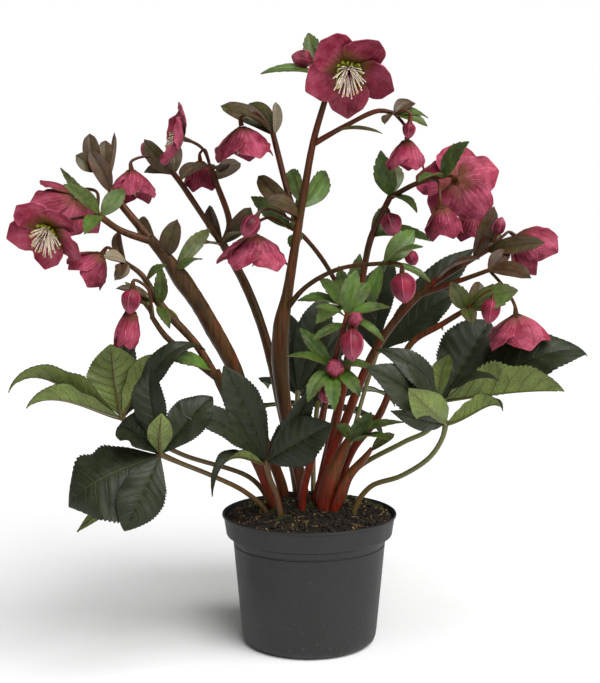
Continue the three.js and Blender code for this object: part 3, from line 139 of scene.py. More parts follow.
STEMS = rows(("redness", "stalks", "bracts"), {
    "stem_a": (0.45, [
        [[-26, -14, 95, 4.8], [-34, -22, 134, 4.6], [-57, -44, 192, 4.2], [-76, -58, 240, 4.2]],
        [[-76, -58, 236, 3.6], [-90, -62, 261, 3.2], [-119, -68, 295, 3.6], [-133, -62, 317, 2.2],
         [-148, -56, 328, 1.6]],
        [[-76, -58, 236, 3.2], [-96, -66, 253, 2.8], [-114, -74, 270, 2.4], [-124, -80, 286, 2]],
    ], [
        [[-119, -68, 294], [-116, -80, 325], 6, [0, -1, 0.3], 0.3],
        [[-121, -68, 294], [-151, -84, 308], 7, [0, -0.5, 1], 0.75],
        [[-120, -70, 293], [-108, -98, 278], 5, [0, -0.4, 1], 0.3],
        [[-118, -68, 293], [-104, -56, 272], 5, [1, -0.5, 0.5], 0.4],
        [[-78, -58, 240], [-108, -86, 252], 8, [0, -0.7, 0.7], 0],
        [[-122, -79, 284], [-146, -68, 312], 5, [0, -0.4, 1], 0.3],
        [[-147, -56, 326], [-156, -36, 352], 6, [-0.6, -0.6, 0.5], 0.8],
        [[-147, -56, 326], [-146, -84, 318], 6, [-0.2, -0.4, 1], 0.85],
        [[-130, -63, 310], [-112, -82, 326], 5, [0.3, -0.7, 0.6], 0.3],
        [[-147, -56, 327], [-162, -72, 332], 7, [-0.2, -0.8, 0.5], 1.7],
        [[-147, -56, 327], [-153, -76, 314], 6, [0.3, -0.8, 0.4], 1.5],
    ]),
    "stem_b": (0.35, [
        [[-22, 8, 95, 4.6], [-22, 8, 125, 4.6], [-48, -8, 197, 5], [-66, -16, 244, 6.6],
         [-80, -22, 271, 7.2], [-92, -26, 293, 6.8], [-106, -30, 314, 7.6], [-118, -36, 332, 5.2],
         [-130, -40, 347, 4.2]],
        [[-130, -40, 347, 3.6], [-148, -38, 368, 3.2], [-162, -34, 386, 2.8],
         [-171, -36, 403, 1.4]],
        [[-128, -40, 344, 3.4], [-152, -50, 353, 2.8], [-169, -60, 366, 2.6]],
        [[-52, -6, 208, 3.2], [-78, -14, 264, 3.4], [-96, -20, 296, 3.4], [-106, -27, 316, 3]],
    ], [
        [[-171, -36, 401], [-178, -36, 431], 8, [-0.2, -0.9, 0.3], 0.85],
        [[-171, -37, 401], [-188, -44, 413], 8, [-0.2, -0.9, 0.4], 0.75],
        [[-162, -34, 384], [-177, -44, 418], 8, [0.1, -1, 0.2], 1.15],
        [[-165, -34, 390], [-160, -22, 433], 3, [0.6, -0.8, 0], 0.9],
        [[-170, -35, 401], [-166, -30, 426], 7, [0.3, -0.9, 0.2], 0.9],
        [[-167, -59, 365], [-197, -60, 402], 4, [-0.5, -0.8, 0.4], 0.45],
        [[-167, -59, 365], [-190, -84, 388], 7, [-0.3, -0.8, 0.6], 0.25],
        [[-166, -59, 364], [-150, -42, 386], 8, [0.5, -0.7, 0.5], 0.2],
        [[-166, -59, 364], [-172, -98, 350], 7, [0.2, -0.3, 1], 0.15],
        [[-125, -38, 340], [-140, -14, 364], 7, [-0.5, -0.6, 0.6], 0.6],
        [[-118, -36, 332], [-106, -52, 362], 9, [0.2, -1, 0], 0.8],
        [[-110, -33, 322], [-84, -6, 354], 7, [0.6, -0.6, 0.5], 0.35],
        [[-108, -32, 318], [-86, -58, 330], 7, [0.4, -0.5, 0.8], 0.1],
    ]),
    "stem_d": (0.35, [
        [[-10, 24, 95, 4.6], [-10, 24, 124, 4.6], [-26, 40, 203, 4.4], [-40, 50, 261, 4.2],
         [-57, 56, 305, 4.2], [-78, 60, 343, 3.6]],
        [[-78, 60, 341, 3], [-93, 56, 364, 2.6], [-119, 44, 403, 2.6], [-130, 42, 414, 1.6]],
        [[-77, 60, 341, 3], [-71, 58, 359, 2.8], [-82, 45, 396, 2.6], [-86, 39, 410, 2.2]],
    ], [
        [[-119, 44, 403], [-143, 34, 432], 9, [-0.4, -0.8, 0.3], 0.7],
        [[-120, 44, 402], [-146, 56, 405], 9, [-0.2, -0.5, 0.9], 0.75],
        [[-118, 44, 403], [-124, 62, 432], 8, [0.3, -0.8, 0.3], 0.8],
        [[-78, 60, 342], [-90, 74, 376], 8, [-0.6, -0.6, 0.4], 0.8],
        [[-77, 60, 342], [-52, 66, 374], 9, [0.4, -0.8, 0.4], 0.75],
        [[-79, 60, 340], [-102, 42, 338], 7, [-0.3, -0.3, 1], 0.6],
        [[-77, 60, 341], [-58, 40, 352], 7, [0.4, -0.5, 0.8], 0.5],
        [[-86, 40, 409], [-110, 18, 396], 11, [-0.3, -0.6, 0.7], 0.75],
        [[-85, 40, 408], [-76, 16, 402], 11, [0.3, -0.6, 0.7], 0.85],
        [[-83, 45, 398], [-60, 50, 412], 9, [0.3, -0.7, 0.6], 1.4],
    ]),
    "stem_f": (0.25, [
        [[-5, 2, 95, 5], [-5, 2, 125, 5], [-20, 7, 195, 5.6], [-25, 8, 240, 7.6], [-24, 6, 272, 7],
         [-19, 4, 298, 4.6], [-11, -4, 347, 3.6], [-5, -8, 382, 3.2], [3, -16, 426, 2.8],
         [14, -22, 464, 2.4]],
        [[-20, 4, 286, 2.8], [-3, -12, 306, 2.1], [25, -34, 322, 1.8], [60, -54, 327, 1.7]],
        [[3, -16, 424, 2.6], [29, -24, 438, 2], [56, -26, 450, 2], [70, -24, 448, 1.8]],
        [[-9, -6, 358, 3], [-18, 5, 384, 2.6], [-26, 12, 415, 2.6], [-31, 14, 435, 2.4]],
        [[13, -21, 460, 2.4], [9, -10, 476, 2], [7, -6, 491, 1.6]],
    ], [
        [[-31, 14, 434], [-76, 22, 459], 11, [-0.3, -0.6, 0.8], 0.65],
        [[-32, 14, 434], [-68, -14, 452], 9, [-0.2, -0.6, 0.8], 0.7],
        [[-30, 14, 434], [-29, 18, 462], 5, [0.3, -1, 0], 2],
        [[-31, 15, 434], [-52, 38, 463], 9, [-0.3, -0.3, 0.9], 0.6],
        [[-9, -6, 364], [-44, 24, 400], 9, [-0.5, -0.7, 0.5], 0.7],
        [[-9, -7, 364], [-36, -24, 378], 9, [-0.2, -0.8, 0.6], 0.75],
        [[-6, -7, 372], [14, 26, 404], 10, [0.6, -0.7, 0.3], 0.15],
        [[-6, -6, 374], [-16, 44, 406], 8, [-0.2, -0.4, 0.9], 0.2],
        [[8, -6, 487], [-1, -2, 516], 8, [-0.2, -0.9, 0.3], 0.35],
        [[8, -7, 488], [14, -18, 500], 6, [0.2, -0.8, 0.5], 1.5],
        [[9, -9, 480], [-40, -22, 480], 6, [0, -0.6, 0.8], 0.15],
        [[16, -20, 432], [58, -46, 430], 3, [0, -0.6, 0.8], 0.5],
        [[69, -24, 447], [86, -12, 458], 8, [-0.2, -0.8, 0.5], 0.8],
        [[69, -24, 447], [98, -8, 446], 8, [0.2, -0.5, 0.8], 0.2],
        [[69, -24, 447], [96, -22, 438], 7, [0.3, -0.6, 0.7], 0.3],
        [[68, -25, 447], [60, -40, 438], 5, [-0.4, -0.6, 0.7], 0.7],
        [[59, -54, 326], [84, -42, 353], 10, [0.3, -0.9, 0.3], 0.1],
        [[60, -54, 326], [88, -76, 340], 6, [0.2, -0.5, 0.9], 0.1],
        [[60, -55, 325], [96, -58, 312], 5, [0.2, -0.5, 0.9], 0.15],
        [[57, -52, 326], [48, -46, 292], 7, [-0.2, -1, 0], 0.15],
    ]),
    "stem_g": (0.5, [
        [[8, 36, 95, 2.8], [8, 36, 120, 2.8], [32, 54, 228, 2.4], [36, 58, 276, 2.4],
         [18, 54, 318, 2.2], [-6, 36, 349, 2], [-17, 23, 356, 1.8]],
    ], [
        [[-7, 35, 350], [-14, 10, 336], 7, [-0.2, -0.6, 0.7], 0.2],
        [[-16, 24, 355], [-50, 22, 382], 9, [-0.4, -0.6, 0.7], 0.3],
        [[-16, 24, 355], [-8, 16, 384], 6, [0.4, -0.9, 0.2], 0.1],
        [[33, 57, 284], [-10, 28, 292], 8, [0, -0.6, 0.8], 0.15],
        [[33, 57, 284], [8, 34, 312], 8, [-0.2, -0.8, 0.5], 0.1],
        [[33, 57, 284], [26, 40, 322], 8, [0, -1, 0.2], 0.15],
        [[33, 57, 284], [46, 66, 332], 8, [0.4, -0.9, 0.2], 0.1],
        [[33, 57, 284], [6, 28, 272], 8, [0, -0.5, 0.9], 0.2],
        [[33, 57, 284], [62, 84, 306], 8, [0.2, -0.3, 0.9], 0.15],
    ]),
    "stem_i": (0.7, [
        [[11, 19, 95, 3.8], [11, 19, 122, 3.8], [32, 36, 222, 3.4], [47, 45, 309, 3],
         [54, 38, 346, 3], [70, 22, 383, 2.6]],
        [[69, 23, 381, 2.4], [89, 8, 392, 2.2], [104, -2, 397, 2], [113, -8, 398, 1.8]],
    ], [
        [[70, 22, 383], [60, 4, 420], 10, [-0.3, -1, 0], 0.05],
        [[70, 22, 383], [90, -4, 368], 8, [0.2, -0.4, 0.9], 0.2],
        [[71, 22, 384], [72, 44, 414], 8, [0.3, -0.3, 0.9], 0.3],
        [[111, -8, 397], [128, -40, 424], 10, [0, -0.8, 0.5], 0.05],
        [[110, -7, 397], [88, -36, 392], 9, [-0.2, -0.4, 0.9], 0.05],
        [[55, 38, 347], [104, 14, 344], 10, [0, -0.5, 0.9], 0.1],
        [[55, 38, 348], [68, 56, 374], 8, [0.4, -0.7, 0.5], 0.1],
    ]),
    "stem_j": (0.9, [
        [[7, -6, 95, 4.6], [7, -6, 125, 4.6], [31, 4, 190, 4], [59, 4, 256, 3.6],
         [95, -8, 302, 3.4], [125, -14, 323, 2.8], [152, -14, 339, 2.2]],
        [[95, -8, 300, 2.6], [117, -22, 309, 2.2], [132, -30, 315, 2], [147, -36, 321, 1.8]],
    ], [
        [[137, -14, 331], [152, -22, 373], 8.5, [0.1, -1, 0.1], 0.85],
        [[139, -14, 332], [160, -2, 352], 9, [0.2, -0.8, 0.4], 0.75],
        [[148, -14, 336], [190, -44, 343], 9, [0, -0.9, 0.4], 0.7],
        [[106, -11, 310], [138, -40, 330], 9, [0.2, -0.5, 0.9], 0.85],
        [[146, -36, 320], [163, -30, 336], 8, [-0.1, -0.8, 0.5], 1],
        [[147, -36, 320], [176, -60, 315], 10, [0, -0.7, 0.7], 0.95],
    ]),
    "stem_k": (0.85, [
        [[24, -14, 95, 3.4], [24, -14, 130, 3.4], [36, -22, 169, 3.2], [57, -34, 200, 3],
         [72, -40, 238, 2.8], [83, -43, 262, 2.6], [104, -50, 276, 2.4], [128, -58, 292, 2]],
    ], [
        [[127, -58, 291], [163, -74, 306], 12, [-0.1, -0.8, 0.6], 0.35],
        [[127, -58, 291], [136, -52, 312], 8, [0.2, -1, 0.2], 0.7],
        [[125, -57, 290], [112, -62, 312], 8, [-0.3, -0.9, 0.4], 0.4],
        [[126, -58, 290], [126, -84, 280], 7, [0, -0.5, 0.9], 0.5],
    ]),
    "stem_l": (0.95, [
        [[13, -26, 95, 7.2], [13, -26, 127, 8], [18, -31, 149, 7.6], [26, -35, 168, 5.4],
         [33, -37, 183, 2.6]],
        [[20, -30, 120, 4.5], [32, -37, 150, 4], [45, -41, 166, 3], [51, -43, 175, 1.6]],
    ], [
        [[32, -37, 180], [50, -52, 206], 8, [0.2, -0.9, 0.4], 0.1],
        [[33, -37, 179], [76, -54, 198], 7, [0.2, -0.5, 0.9], 0.15],
        [[33, -37, 178], [64, -70, 186], 7, [0.2, -0.4, 0.9], 0.1],
        [[32, -37, 180], [24, -62, 198], 6, [-0.2, -0.6, 0.7], 0.2],
        [[51, -43, 173], [70, -40, 186], 5, [0.3, -0.6, 0.7], 0.5],
    ]),
    "stem_m": (0.9, [
        [[-6, -30, 95, 3.4], [-6, -30, 131, 3.4], [8, -58, 193, 3], [16, -78, 239, 2.6],
         [26, -84, 276, 2.4], [29, -82, 289, 2]],
    ], [
        [[17, -79, 246], [-18, -94, 256], 7, [0, -0.5, 0.9], 0.05],
        [[17, -79, 245], [-2, -104, 222], 7, [-0.2, -0.8, 0.5], 0],
        [[17, -80, 244], [18, -110, 216], 7, [0, -0.8, 0.5], 0.05],
        [[18, -80, 245], [38, -102, 226], 7, [0.3, -0.8, 0.5], 0],
        [[18, -79, 246], [50, -92, 246], 7, [0.2, -0.5, 0.9], 0.05],
        [[17, -78, 247], [-8, -72, 276], 6, [-0.3, -0.8, 0.4], 0.1],
        [[28, -82, 287], [62, -82, 293], 7, [0, -0.5, 0.9], 0],
        [[29, -82, 286], [58, -88, 266], 6, [0.4, -0.5, 0.8], 0.05],
        [[28, -82, 287], [36, -78, 322], 8, [0, -1, 0.2], 0],
        [[27, -82, 286], [4, -94, 294], 6, [-0.2, -0.5, 0.9], 0.1],
        [[27, -83, 280], [2, -94, 268], 6, [-0.3, -0.6, 0.8], 0.05],
        [[29, -81, 287], [48, -62, 312], 7, [0.3, -0.6, 0.7], 0.05],
    ]),
})

# The first value of a leaf is the tint of its stalk, from 0 for green to 1 for brown. It also
# sets painted light and shade on its leaflets: the greener the stalk, the lighter they are
# painted, and the browner, the darker. Each leaflet is [tip, half width, direction its upper side
# looks in, arch of its midrib, fold of its halves towards that side in radians, hook of its tip].

LEAVES = rows(("brownness", "petiole", "leaflets"), {
    "leaf_front_left": (0.9, [
        [-32, -22, 96, 2.2], [-38, -27, 120, 2.2], [-53, -38, 137, 2.1], [-78, -64, 156, 2],
        [-102, -90, 172, 2], [-116, -110, 183, 2.5],
    ], [
        [[-184, -116, 143], 36, [-0.1, -0.8, 0.6], 0.14, -0.35, 0.5],
        [[-140, -130, 128], 18, [0.1, -0.95, 0.2], 0.1, 0.2, 0.3],
        [[-180, -106, 121], 7, [0.1, 0.9, 0.2], 0.1, 0.2, 0.4],
        [[-112, -122, 216], 10, [-0.1, 0.9, 0.3], -0.1, 0.2, 0],
        [[-122, -92, 246], 15, [-0.3, -0.9, 0.3], 0.14, 0.4, 0.8],
        [[-76, -92, 224], 16, [0, -0.9, 0.4], 0.14, 0.25, 0.4],
        [[-148, -98, 202], 24, [0, -0.5, 0.87], 0.1, 0.7, 0.3],
    ]),
    "leaf_left": (0.85, [
        [-30, -8, 96, 2.2], [-36, -12, 126, 2.2], [-50, -22, 146, 2.1], [-104, -50, 171, 2],
        [-130, -63, 188, 2], [-152, -70, 206, 2.5],
    ], [
        [[-235, -88, 227], 20, [0, 0.3, 0.95], 0.2, 0.9, 0.8],
        [[-219, -98, 216], 15, [0, 0.42, 0.9], 0.14, 0.9, 0.5],
        [[-160, -58, 262], 22, [-0.1, 0.95, 0.2], 0.04, 0.15, 0.2],
        [[-154, -24, 274], 12, [0.2, -0.95, 0.2], -0.1, 0.2, 0],
        [[-120, -66, 254], 13, [-0.3, 0.9, 0.3], 0.14, 0.2, 1],
        [[-84, -60, 258], 10, [0.1, -0.75, 0.65], 0.34, 0.2, 0.9],
    ]),
    "leaf_front": (0.95, [
        [-22, -40, 96, 2.3], [-26, -42, 131, 2.3], [-33, -50, 153, 2.1], [-36, -58, 168, 2.5],
    ], [
        [[-68, -80, 247], 16, [0.2, -0.95, 0.2], 0.05, 0.15, 0],
        [[-106, -104, 216], 13, [-0.1, -0.7, 0.7], 0.14, 0.25, 0.2],
        [[-75, -112, 150], 9, [-0.4, -0.5, 0.8], 0.3, 0.8, 0.4],
        [[3, -84, 232], 11, [0.3, -0.8, 0.5], 0.08, 0.6, 0],
        [[17, -100, 204], 20, [0.1, -0.95, 0.3], 0.08, 0.15, 0.2],
    ]),
    "leaf_front_right": (0.15, [
        [34, -27, 96, 2.4], [38, -30, 122, 2.4], [50, -40, 142, 2.2], [74, -62, 156, 2.1],
        [95, -80, 175, 2], [104, -86, 192, 2], [106, -88, 205, 2.5],
    ], [
        [[42, -118, 250], 19, [-0.3, -0.75, 0.6], 0.14, 0.3, 0.3],
        [[72, -138, 237], 13, [-0.1, 0.9, 0.3], -0.1, 0.2, 0],
        [[50, -104, 262], 13, [-0.2, -0.6, 0.8], 0.2, 0.3, 0.5],
        [[145, -118, 217], 13, [0, 0.4, 0.9], 0.14, 1.1, 1],
        [[60, -124, 218], 8, [-0.5, -0.8, 0.2], 0.16, 0.3, 0.2],
    ]),
    "leaf_right": (0.1, [
        [27, 0, 96, 2.4], [30, -4, 126, 2.3], [39, -12, 150, 2.2], [77, -30, 177, 2.1],
        [100, -41, 192, 2], [107, -45, 217, 2.5],
    ], [
        [[150, -18, 278], 27, [-0.1, -0.85, 0.5], 0.06, 0.15, 0.2],
        [[226, -43, 251], 24, [0, -0.75, 0.65], 0.16, 0.15, 0.8],
        [[196, -96, 229], 30, [0, 0.36, 0.9], 0.03, 1.1, 0.3],
        [[147, -84, 236], 9, [0.2, -0.6, 0.8], 0.16, 0.3, 0.6],
        [[110, -66, 255], 9, [-0.2, 0.9, 0.3], 0.1, 0.2, 0],
        [[176, -14, 236], 14, [0.3, 0.2, 0.9], 0.12, 0.22, 0.3],
    ]),
    "leaf_back_right": (0.3, [
        [27, 34, 96, 2.4], [31, 40, 122, 2.3], [39, 60, 164, 2.1], [52, 80, 207, 2],
        [64, 90, 243, 2.5],
    ], [
        [[155, 112, 336], 18, [-0.4, -0.8, 0.4], 0.08, 0.2, 0.2],
        [[136, 82, 296], 19, [0, -0.7, 0.7], 0.1, 0.2, 0.3],
        [[80, 130, 326], 17, [-0.3, -0.5, 0.8], 0.12, 0.2, 0.3],
        [[132, 152, 256], 17, [0.4, 0.3, 0.9], 0.14, 0.25, 0.5],
        [[50, 168, 270], 16, [-0.2, 0.5, 0.8], 0.14, 0.25, 0.5],
    ]),
    "leaf_back_left": (0.5, [
        [-12, 42, 96, 2.4], [-12, 45, 123, 2.3], [-12, 80, 164, 2.1], [-10, 96, 204, 2.5],
    ], [
        [[-18, 122, 274], 15, [-0.3, -0.8, 0.5], 0.1, 0.2, 0.2],
        [[16, 116, 292], 17, [0.1, -0.9, 0.3], 0.1, 0.2, 0.2],
        [[36, 130, 262], 16, [0.3, -0.7, 0.6], 0.12, 0.25, 0.4],
        [[28, 176, 222], 16, [0.3, 0.3, 0.9], 0.14, 0.25, 0.5],
        [[-40, 172, 196], 17, [-0.3, 0.4, 0.9], 0.16, 0.25, 0.5],
    ]),
    "leaf_back": (0.4, [
        [4, 46, 96, 2.4], [4, 52, 123, 2.3], [5, 90, 158, 2.1], [9, 125, 189, 2.5],
    ], [
        [[-66, 160, 158], 17, [-0.2, 0.2, 0.9], 0.16, 0.25, 0.5],
        [[-30, 208, 184], 18, [0, 0.3, 0.9], 0.14, 0.25, 0.5],
        [[34, 212, 198], 18, [0.1, 0.3, 0.9], 0.14, 0.25, 0.5],
        [[88, 184, 176], 18, [0.2, 0.2, 0.9], 0.16, 0.25, 0.5],
        [[72, 128, 150], 14, [0.4, -0.1, 0.9], 0.18, 0.25, 0.4],
    ]),
})

# A flower opens along the direction it faces. open holds the angle of its sepals to its flat
# plane, in degrees, at their root and at their tip. shade is 0 for rose and 1 for dark wine.
# route is the way of its stalk from its stem.

FLOWERS = rows(("stem", "route", "base", "facing", "length", "open", "turn", "shade"), {
    "flower_top": ("stem_f", [[13, -21, 461], [24, -18, 472]], [31, -30, 483], [0.0, -1, -0.66], 38,
        [2, 44], 0.94, 0.3),
    "flower_left": ("stem_b", [[-168, -59, 365], [-188, -58, 362]], [-205, -68, 354],
        [-0.3, -0.85, -0.6], 32, [4, 40], 0.66, 0.1),
    "flower_left_behind": ("stem_b", [[-169, -59, 365], [-172, -42, 384]], [-192, -28, 381],
        [-0.55, 0.45, -0.6], 35, [10, 50], 0.2, 0.45),
    "flower_bell_left": ("stem_d", [[-124, 43, 407], [-138, 34, 417]], [-153, 24, 405],
        [0.05, -0.15, -1], 32, [30, 80], 0.9, 0.3),
    "flower_wing": ("stem_d", [[-86, 40, 408], [-91, 28, 422]], [-106, 8, 430], [-0.9, -0.2, 0.3],
        29, [8, 46], 0.1, 0.2),
    "flower_nodding_left": ("stem_f", [[-31, 14, 434], [-46, 9, 452]], [-57, 3, 440],
        [0.12, 0.05, -1], 35, [28, 72], 0.4, 0.4),
    "flower_nodding_middle": ("stem_g", [[-17, 24, 355], [-34, 12, 364]], [-46, -2, 350],
        [-0.05, 0.14, -1], 39, [24, 64], 0.15, 0.25),
    "flower_low_left": ("stem_a", [[-147, -56, 327], [-157, -53, 336]], [-167, -50, 334],
        [-0.62, 0, -0.75], 29, [34, 84], 0.7, 0.35),
    "flower_right_back": ("stem_i", [[112, -8, 398], [118, -14, 398]], [123, -2, 395],
        [0.25, 0.9, -0.25], 38, [8, 40], 0.25, 0.2),
    "flower_right_low": ("stem_i", [[100, 0, 396], [106, -22, 392]], [107, -32, 373],
        [0.15, 0.1, -1], 28, [42, 84], 0.6, 0.75),
    "flower_right_dark": ("stem_i", [[69, 24, 381], [100, 44, 394], [132, 38, 388]], [140, 36, 370],
        [0, 0.3, -1], 26, [40, 82], 0.2, 0.9),
    "flower_far_right": ("stem_j", [[150, -14, 338], [162, -12, 349]], [172, -10, 348],
        [0.8, 0.1, -0.55], 38, [18, 96], 0.35, 0.15),
    "flower_low_right": ("stem_j", [[146, -36, 321], [157, -42, 308]], [165, -56, 286],
        [0.15, 0.12, -1], 33, [26, 62], 0.8, 0.05),
    "flower_upper_right": ("stem_f", [[69, -24, 448], [77, -20, 440]], [80, -18, 427], [0, 0, -1],
        27, [40, 84], 0.5, 0.35),
    "flower_half_open": ("stem_a", [[-123, -79, 284], [-128, -85, 296]], [-139, -86, 291],
        [-0.15, -0.1, -1], 29, [58, 100], 0.4, 0.6),
    "flower_hanging": ("stem_d", [[-86, 40, 408], [-92, 48, 424]], [-96, 50, 414], [0, 0.2, -1], 27,
        [42, 86], 0.1, 0.9),
})

BUDS = rows(("stem", "route", "base", "facing", "length", "radius"), {
    "bud_top": ("stem_f", [[7, -6, 490]], [1, -9, 492], [-0.9, -0.3, 0.2], 17, 7),
    "bud_left": ("stem_d", [[-129, 42, 413]], [-134, 42, 418], [-0.7, -0.1, 0.6], 16, 7),
    "bud_arching": ("stem_f", [[58, -53, 327], [68, -59, 327]], [73, -63, 319], [0.1, -0.1, -1], 24,
        9.5),
    "bud_small_upper": ("stem_m", [[29, -82, 287]], [34, -90, 283], [0.1, -0.9, 0.35], 13, 5),
    "bud_large": ("stem_m", [[27, -83, 280], [30, -90, 282]], [32, -93, 276], [0, -0.4, -0.9], 25,
        8.4),
    "bud_round": ("stem_m", [[17, -79, 246]], [19, -88, 246], [0.05, -1, 0.2], 12, 6.6),
    "bud_lowest": ("stem_m", [[14, -72, 226]], [13, -79, 227], [-0.1, -0.9, -0.4], 13, 5.6),
    "bud_right": ("stem_i", [[54, 38, 346], [62, 22, 364]], [68, 14, 366], [0.2, -0.5, -0.8], 20,
        8.5),
    "bud_small_right": ("stem_f", [[58, -53, 327], [72, -44, 338]], [80, -38, 336],
        [0.4, 0.2, -0.7], 13, 5),
    "bud_far_right": ("stem_j", [[137, -14, 331], [144, -24, 346]], [152, -30, 350],
        [0.3, -0.3, 0.9], 15, 5),
    "bud_low_right": ("stem_k", [[127, -58, 291], [140, -66, 304]], [144, -69, 299],
        [-0.2, -0.2, -1], 20, 7),
    "bud_middle": ("stem_f", [[-9, -6, 358], [-32, -14, 370]], [-44, -20, 364], [-0.5, -0.3, -0.75],
        20, 7.5),
    "bud_upper_right": ("stem_f", [[69, -24, 447], [77, -29, 450]], [81, -30, 440],
        [-0.1, -0.1, -1], 13, 4.8),
    "bud_low_left": ("stem_a", [[-124, -80, 285], [-125, -92, 308]], [-136, -97, 308],
        [-0.15, 0, -1], 19, 7),
})


# ---- settings a user would change -------------------------------------------------------------


def colour_setting(name, description, red, green, blue):
    return FloatVectorProperty(
        name=name, description=description, subtype="COLOR", size=4, min=0, max=1,
        default=paint(red, green, blue),
    )


class PlantColours(bpy.types.PropertyGroup):
    """The main colour of each finish; its darker and lighter shades follow from it."""

    pot: colour_setting("Pot", "Plastic of the nursery pot", 27, 26, 26)
    compost: colour_setting("Compost", "Dark crumbs of the compost", 36, 28, 17)
    grit: colour_setting("Grit", "Pale grit in the compost", 150, 120, 72)
    moss: colour_setting("Moss", "Moss on the compost", 62, 66, 30)
    stem_brown: colour_setting("Brown stem", "Upper part of the stems", 78, 50, 28)
    stem_red: colour_setting("Red stem", "Foot of the stems", 118, 30, 20)
    stem_green: colour_setting("Green stem", "Leaf stalks that stay green", 88, 92, 46)
    leaf_upper: colour_setting("Leaf", "Upper side of the leaves", 34, 39, 24)
    leaf_under: colour_setting("Leaf underside", "Lower side of the leaves", 98, 112, 54)
    bract_green: colour_setting("Green bract", "Fresh bracts", 60, 94, 26)
    bract_brown: colour_setting("Brown bract", "Ripe bracts", 82, 58, 38)
    bract_dry: colour_setting("Dry bract", "Withered bracts and scraps", 150, 138, 112)
    rose: colour_setting("Rose sepal", "Sepals of the paler flowers", 142, 34, 60)
    wine: colour_setting("Wine sepal", "Sepals of the darkest flowers", 84, 16, 34)
    flush: colour_setting("Flush", "Olive flush at the root of the sepals", 92, 74, 26)
    # Pale rose also paints the painted highlights on the sepals, as well as their rims and the
    # veins on their backs.
    blush: colour_setting("Pale rose", "Palest patches between the veins", 220, 112, 138)
    nectary: colour_setting("Nectary", "Small horns round a flower's stamens", 136, 142, 34)
    filament: colour_setting("Filament", "Threads that carry the anthers", 246, 236, 220)
    anther: colour_setting("Anther", "Pollen sacs", 214, 200, 126)
    style: colour_setting("Style", "Seed cases and their dark tips", 88, 24, 36)


class PlantSizes(bpy.types.PropertyGroup):
    """How thick the blades are, and how thickly the small things stand."""

    blade: FloatProperty(
        name="Blade thickness", description="Thickness of leaves, bracts and sepals",
        default=0.7 * MM, min=0.6 * MM, max=2 * MM, subtype="DISTANCE", unit="LENGTH",
    )
    waviness: FloatProperty(
        name="Waviness", description="How far the edges of the blades wave, against their usual",
        default=1, min=0, max=3, subtype="FACTOR",
    )
    stamens: IntProperty(
        name="Stamens", description="Stamens in each open flower", default=38, min=5, max=90,
    )
    crumbs: IntProperty(
        name="Crumbs", description="Loose crumbs of compost", default=900, min=0, max=3000,
    )


# ---- selecting, copying and joining -----------------------------------------------------------


def only(*objects):
    """Selects just these objects and makes the last one active."""
    bpy.ops.object.select_all(action="DESELECT")
    for one in objects:
        one.select_set(True)
    bpy.context.view_layer.objects.active = objects[-1]


def copied(template):
    """A copy of a template, with its own mesh."""
    copy = template.copy()
    copy.data = template.data.copy()
    bpy.context.collection.objects.link(copy)
    return copy


def joined(name, parts):
    """Makes one piece of these parts."""
    only(*parts)
    if len(parts) > 1:
        bpy.ops.object.join()
    piece = bpy.context.active_object
    piece.name = name
    piece.data.name = name
    return piece


def added(name, operator, **measures):
    """A mesh primitive, added while nothing else is selected."""
    bpy.ops.object.select_all(action="DESELECT")
    operator(**measures)
    piece = bpy.context.active_object
    piece.name = name
    return piece


def stretched(template, stretch):
    """Stretches a small template along its axes."""
    bpy.ops.object.mode_set(mode="EDIT")
    bpy.ops.transform.resize(value=stretch, center_override=(0, 0, 0))
    bpy.ops.object.mode_set(mode="OBJECT")
    return template


def discard(*objects):
    for one in objects:
        bpy.data.objects.remove(one)


def modified(piece, kind, **settings):
    """Adds a modifier to a piece and applies it."""
    only(piece)
    modifier = piece.modifiers.new(kind.title(), kind)
    for label, value in settings.items():
        setattr(modifier, label, value)
    bpy.ops.object.modifier_apply(modifier=modifier.name)
    return piece


def cleaned(piece):
    """Welds a closed piece's loose seams and turns its faces outward."""
    only(piece)
    bpy.ops.object.mode_set(mode="EDIT")
    bpy.ops.mesh.select_all(action="SELECT")
    bpy.ops.mesh.remove_doubles(threshold=0.01 * MM)
    bpy.ops.mesh.normals_make_consistent(inside=False)
    bpy.ops.object.mode_set(mode="OBJECT")
    return piece


def dressed(part, tone, *finishes):
    """Gives a part its materials, and the tone that they read from it."""
    for name in finishes:
        part.data.materials.append(finish(name))
    tones = part.data.attributes.new("tone", "FLOAT", "POINT")
    tones.data.foreach_set("value", [tone] * len(part.data.vertices))
    return part


def grown(name, parts, node=None, crease=CREASE["usual"]):
    """Joins a finished piece, smooths it, and puts it in the frame, for its node if it has one."""
    piece = joined(name, parts)
    bpy.ops.object.shade_smooth_by_angle(angle=math.radians(crease))
    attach(piece, "root")
    if node:
        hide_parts(node)
    return piece


# ---- shader groups and materials --------------------------------------------------------------


def node(tree, kind, inputs=None, **settings):
    """Adds a shader node, sets it up, and feeds its inputs with values or other nodes' outputs."""
    new = tree.nodes.new(kind)
    for label, value in settings.items():
        setattr(new, label, value)
    for label, value in (inputs or {}).items():
        if isinstance(value, bpy.types.NodeSocket):
            tree.links.new(value, new.inputs[label])
        else:
            new.inputs[label].default_value = value
    return new


def sums(tree, operation, *values):
    """The result of a Math node."""
    return node(tree, "ShaderNodeMath", dict(enumerate(values)), operation=operation).outputs[0]


def times(tree, first, second):
    return sums(tree, "MULTIPLY", first, second)


def ranged(tree, value, from_low, from_high, low, high):
    """A value moved smoothly from one range to another, and kept inside it."""
    inputs = {0: value, 1: from_low, 2: from_high, 3: low, 4: high}
    kind = "ShaderNodeMapRange"
    return node(tree, kind, inputs, interpolation_type="SMOOTHSTEP").outputs[0]


def shade(colour, factor):
    """A colour made darker or lighter."""
    return (*(min(part * factor, 1) for part in colour[:3]), 1)


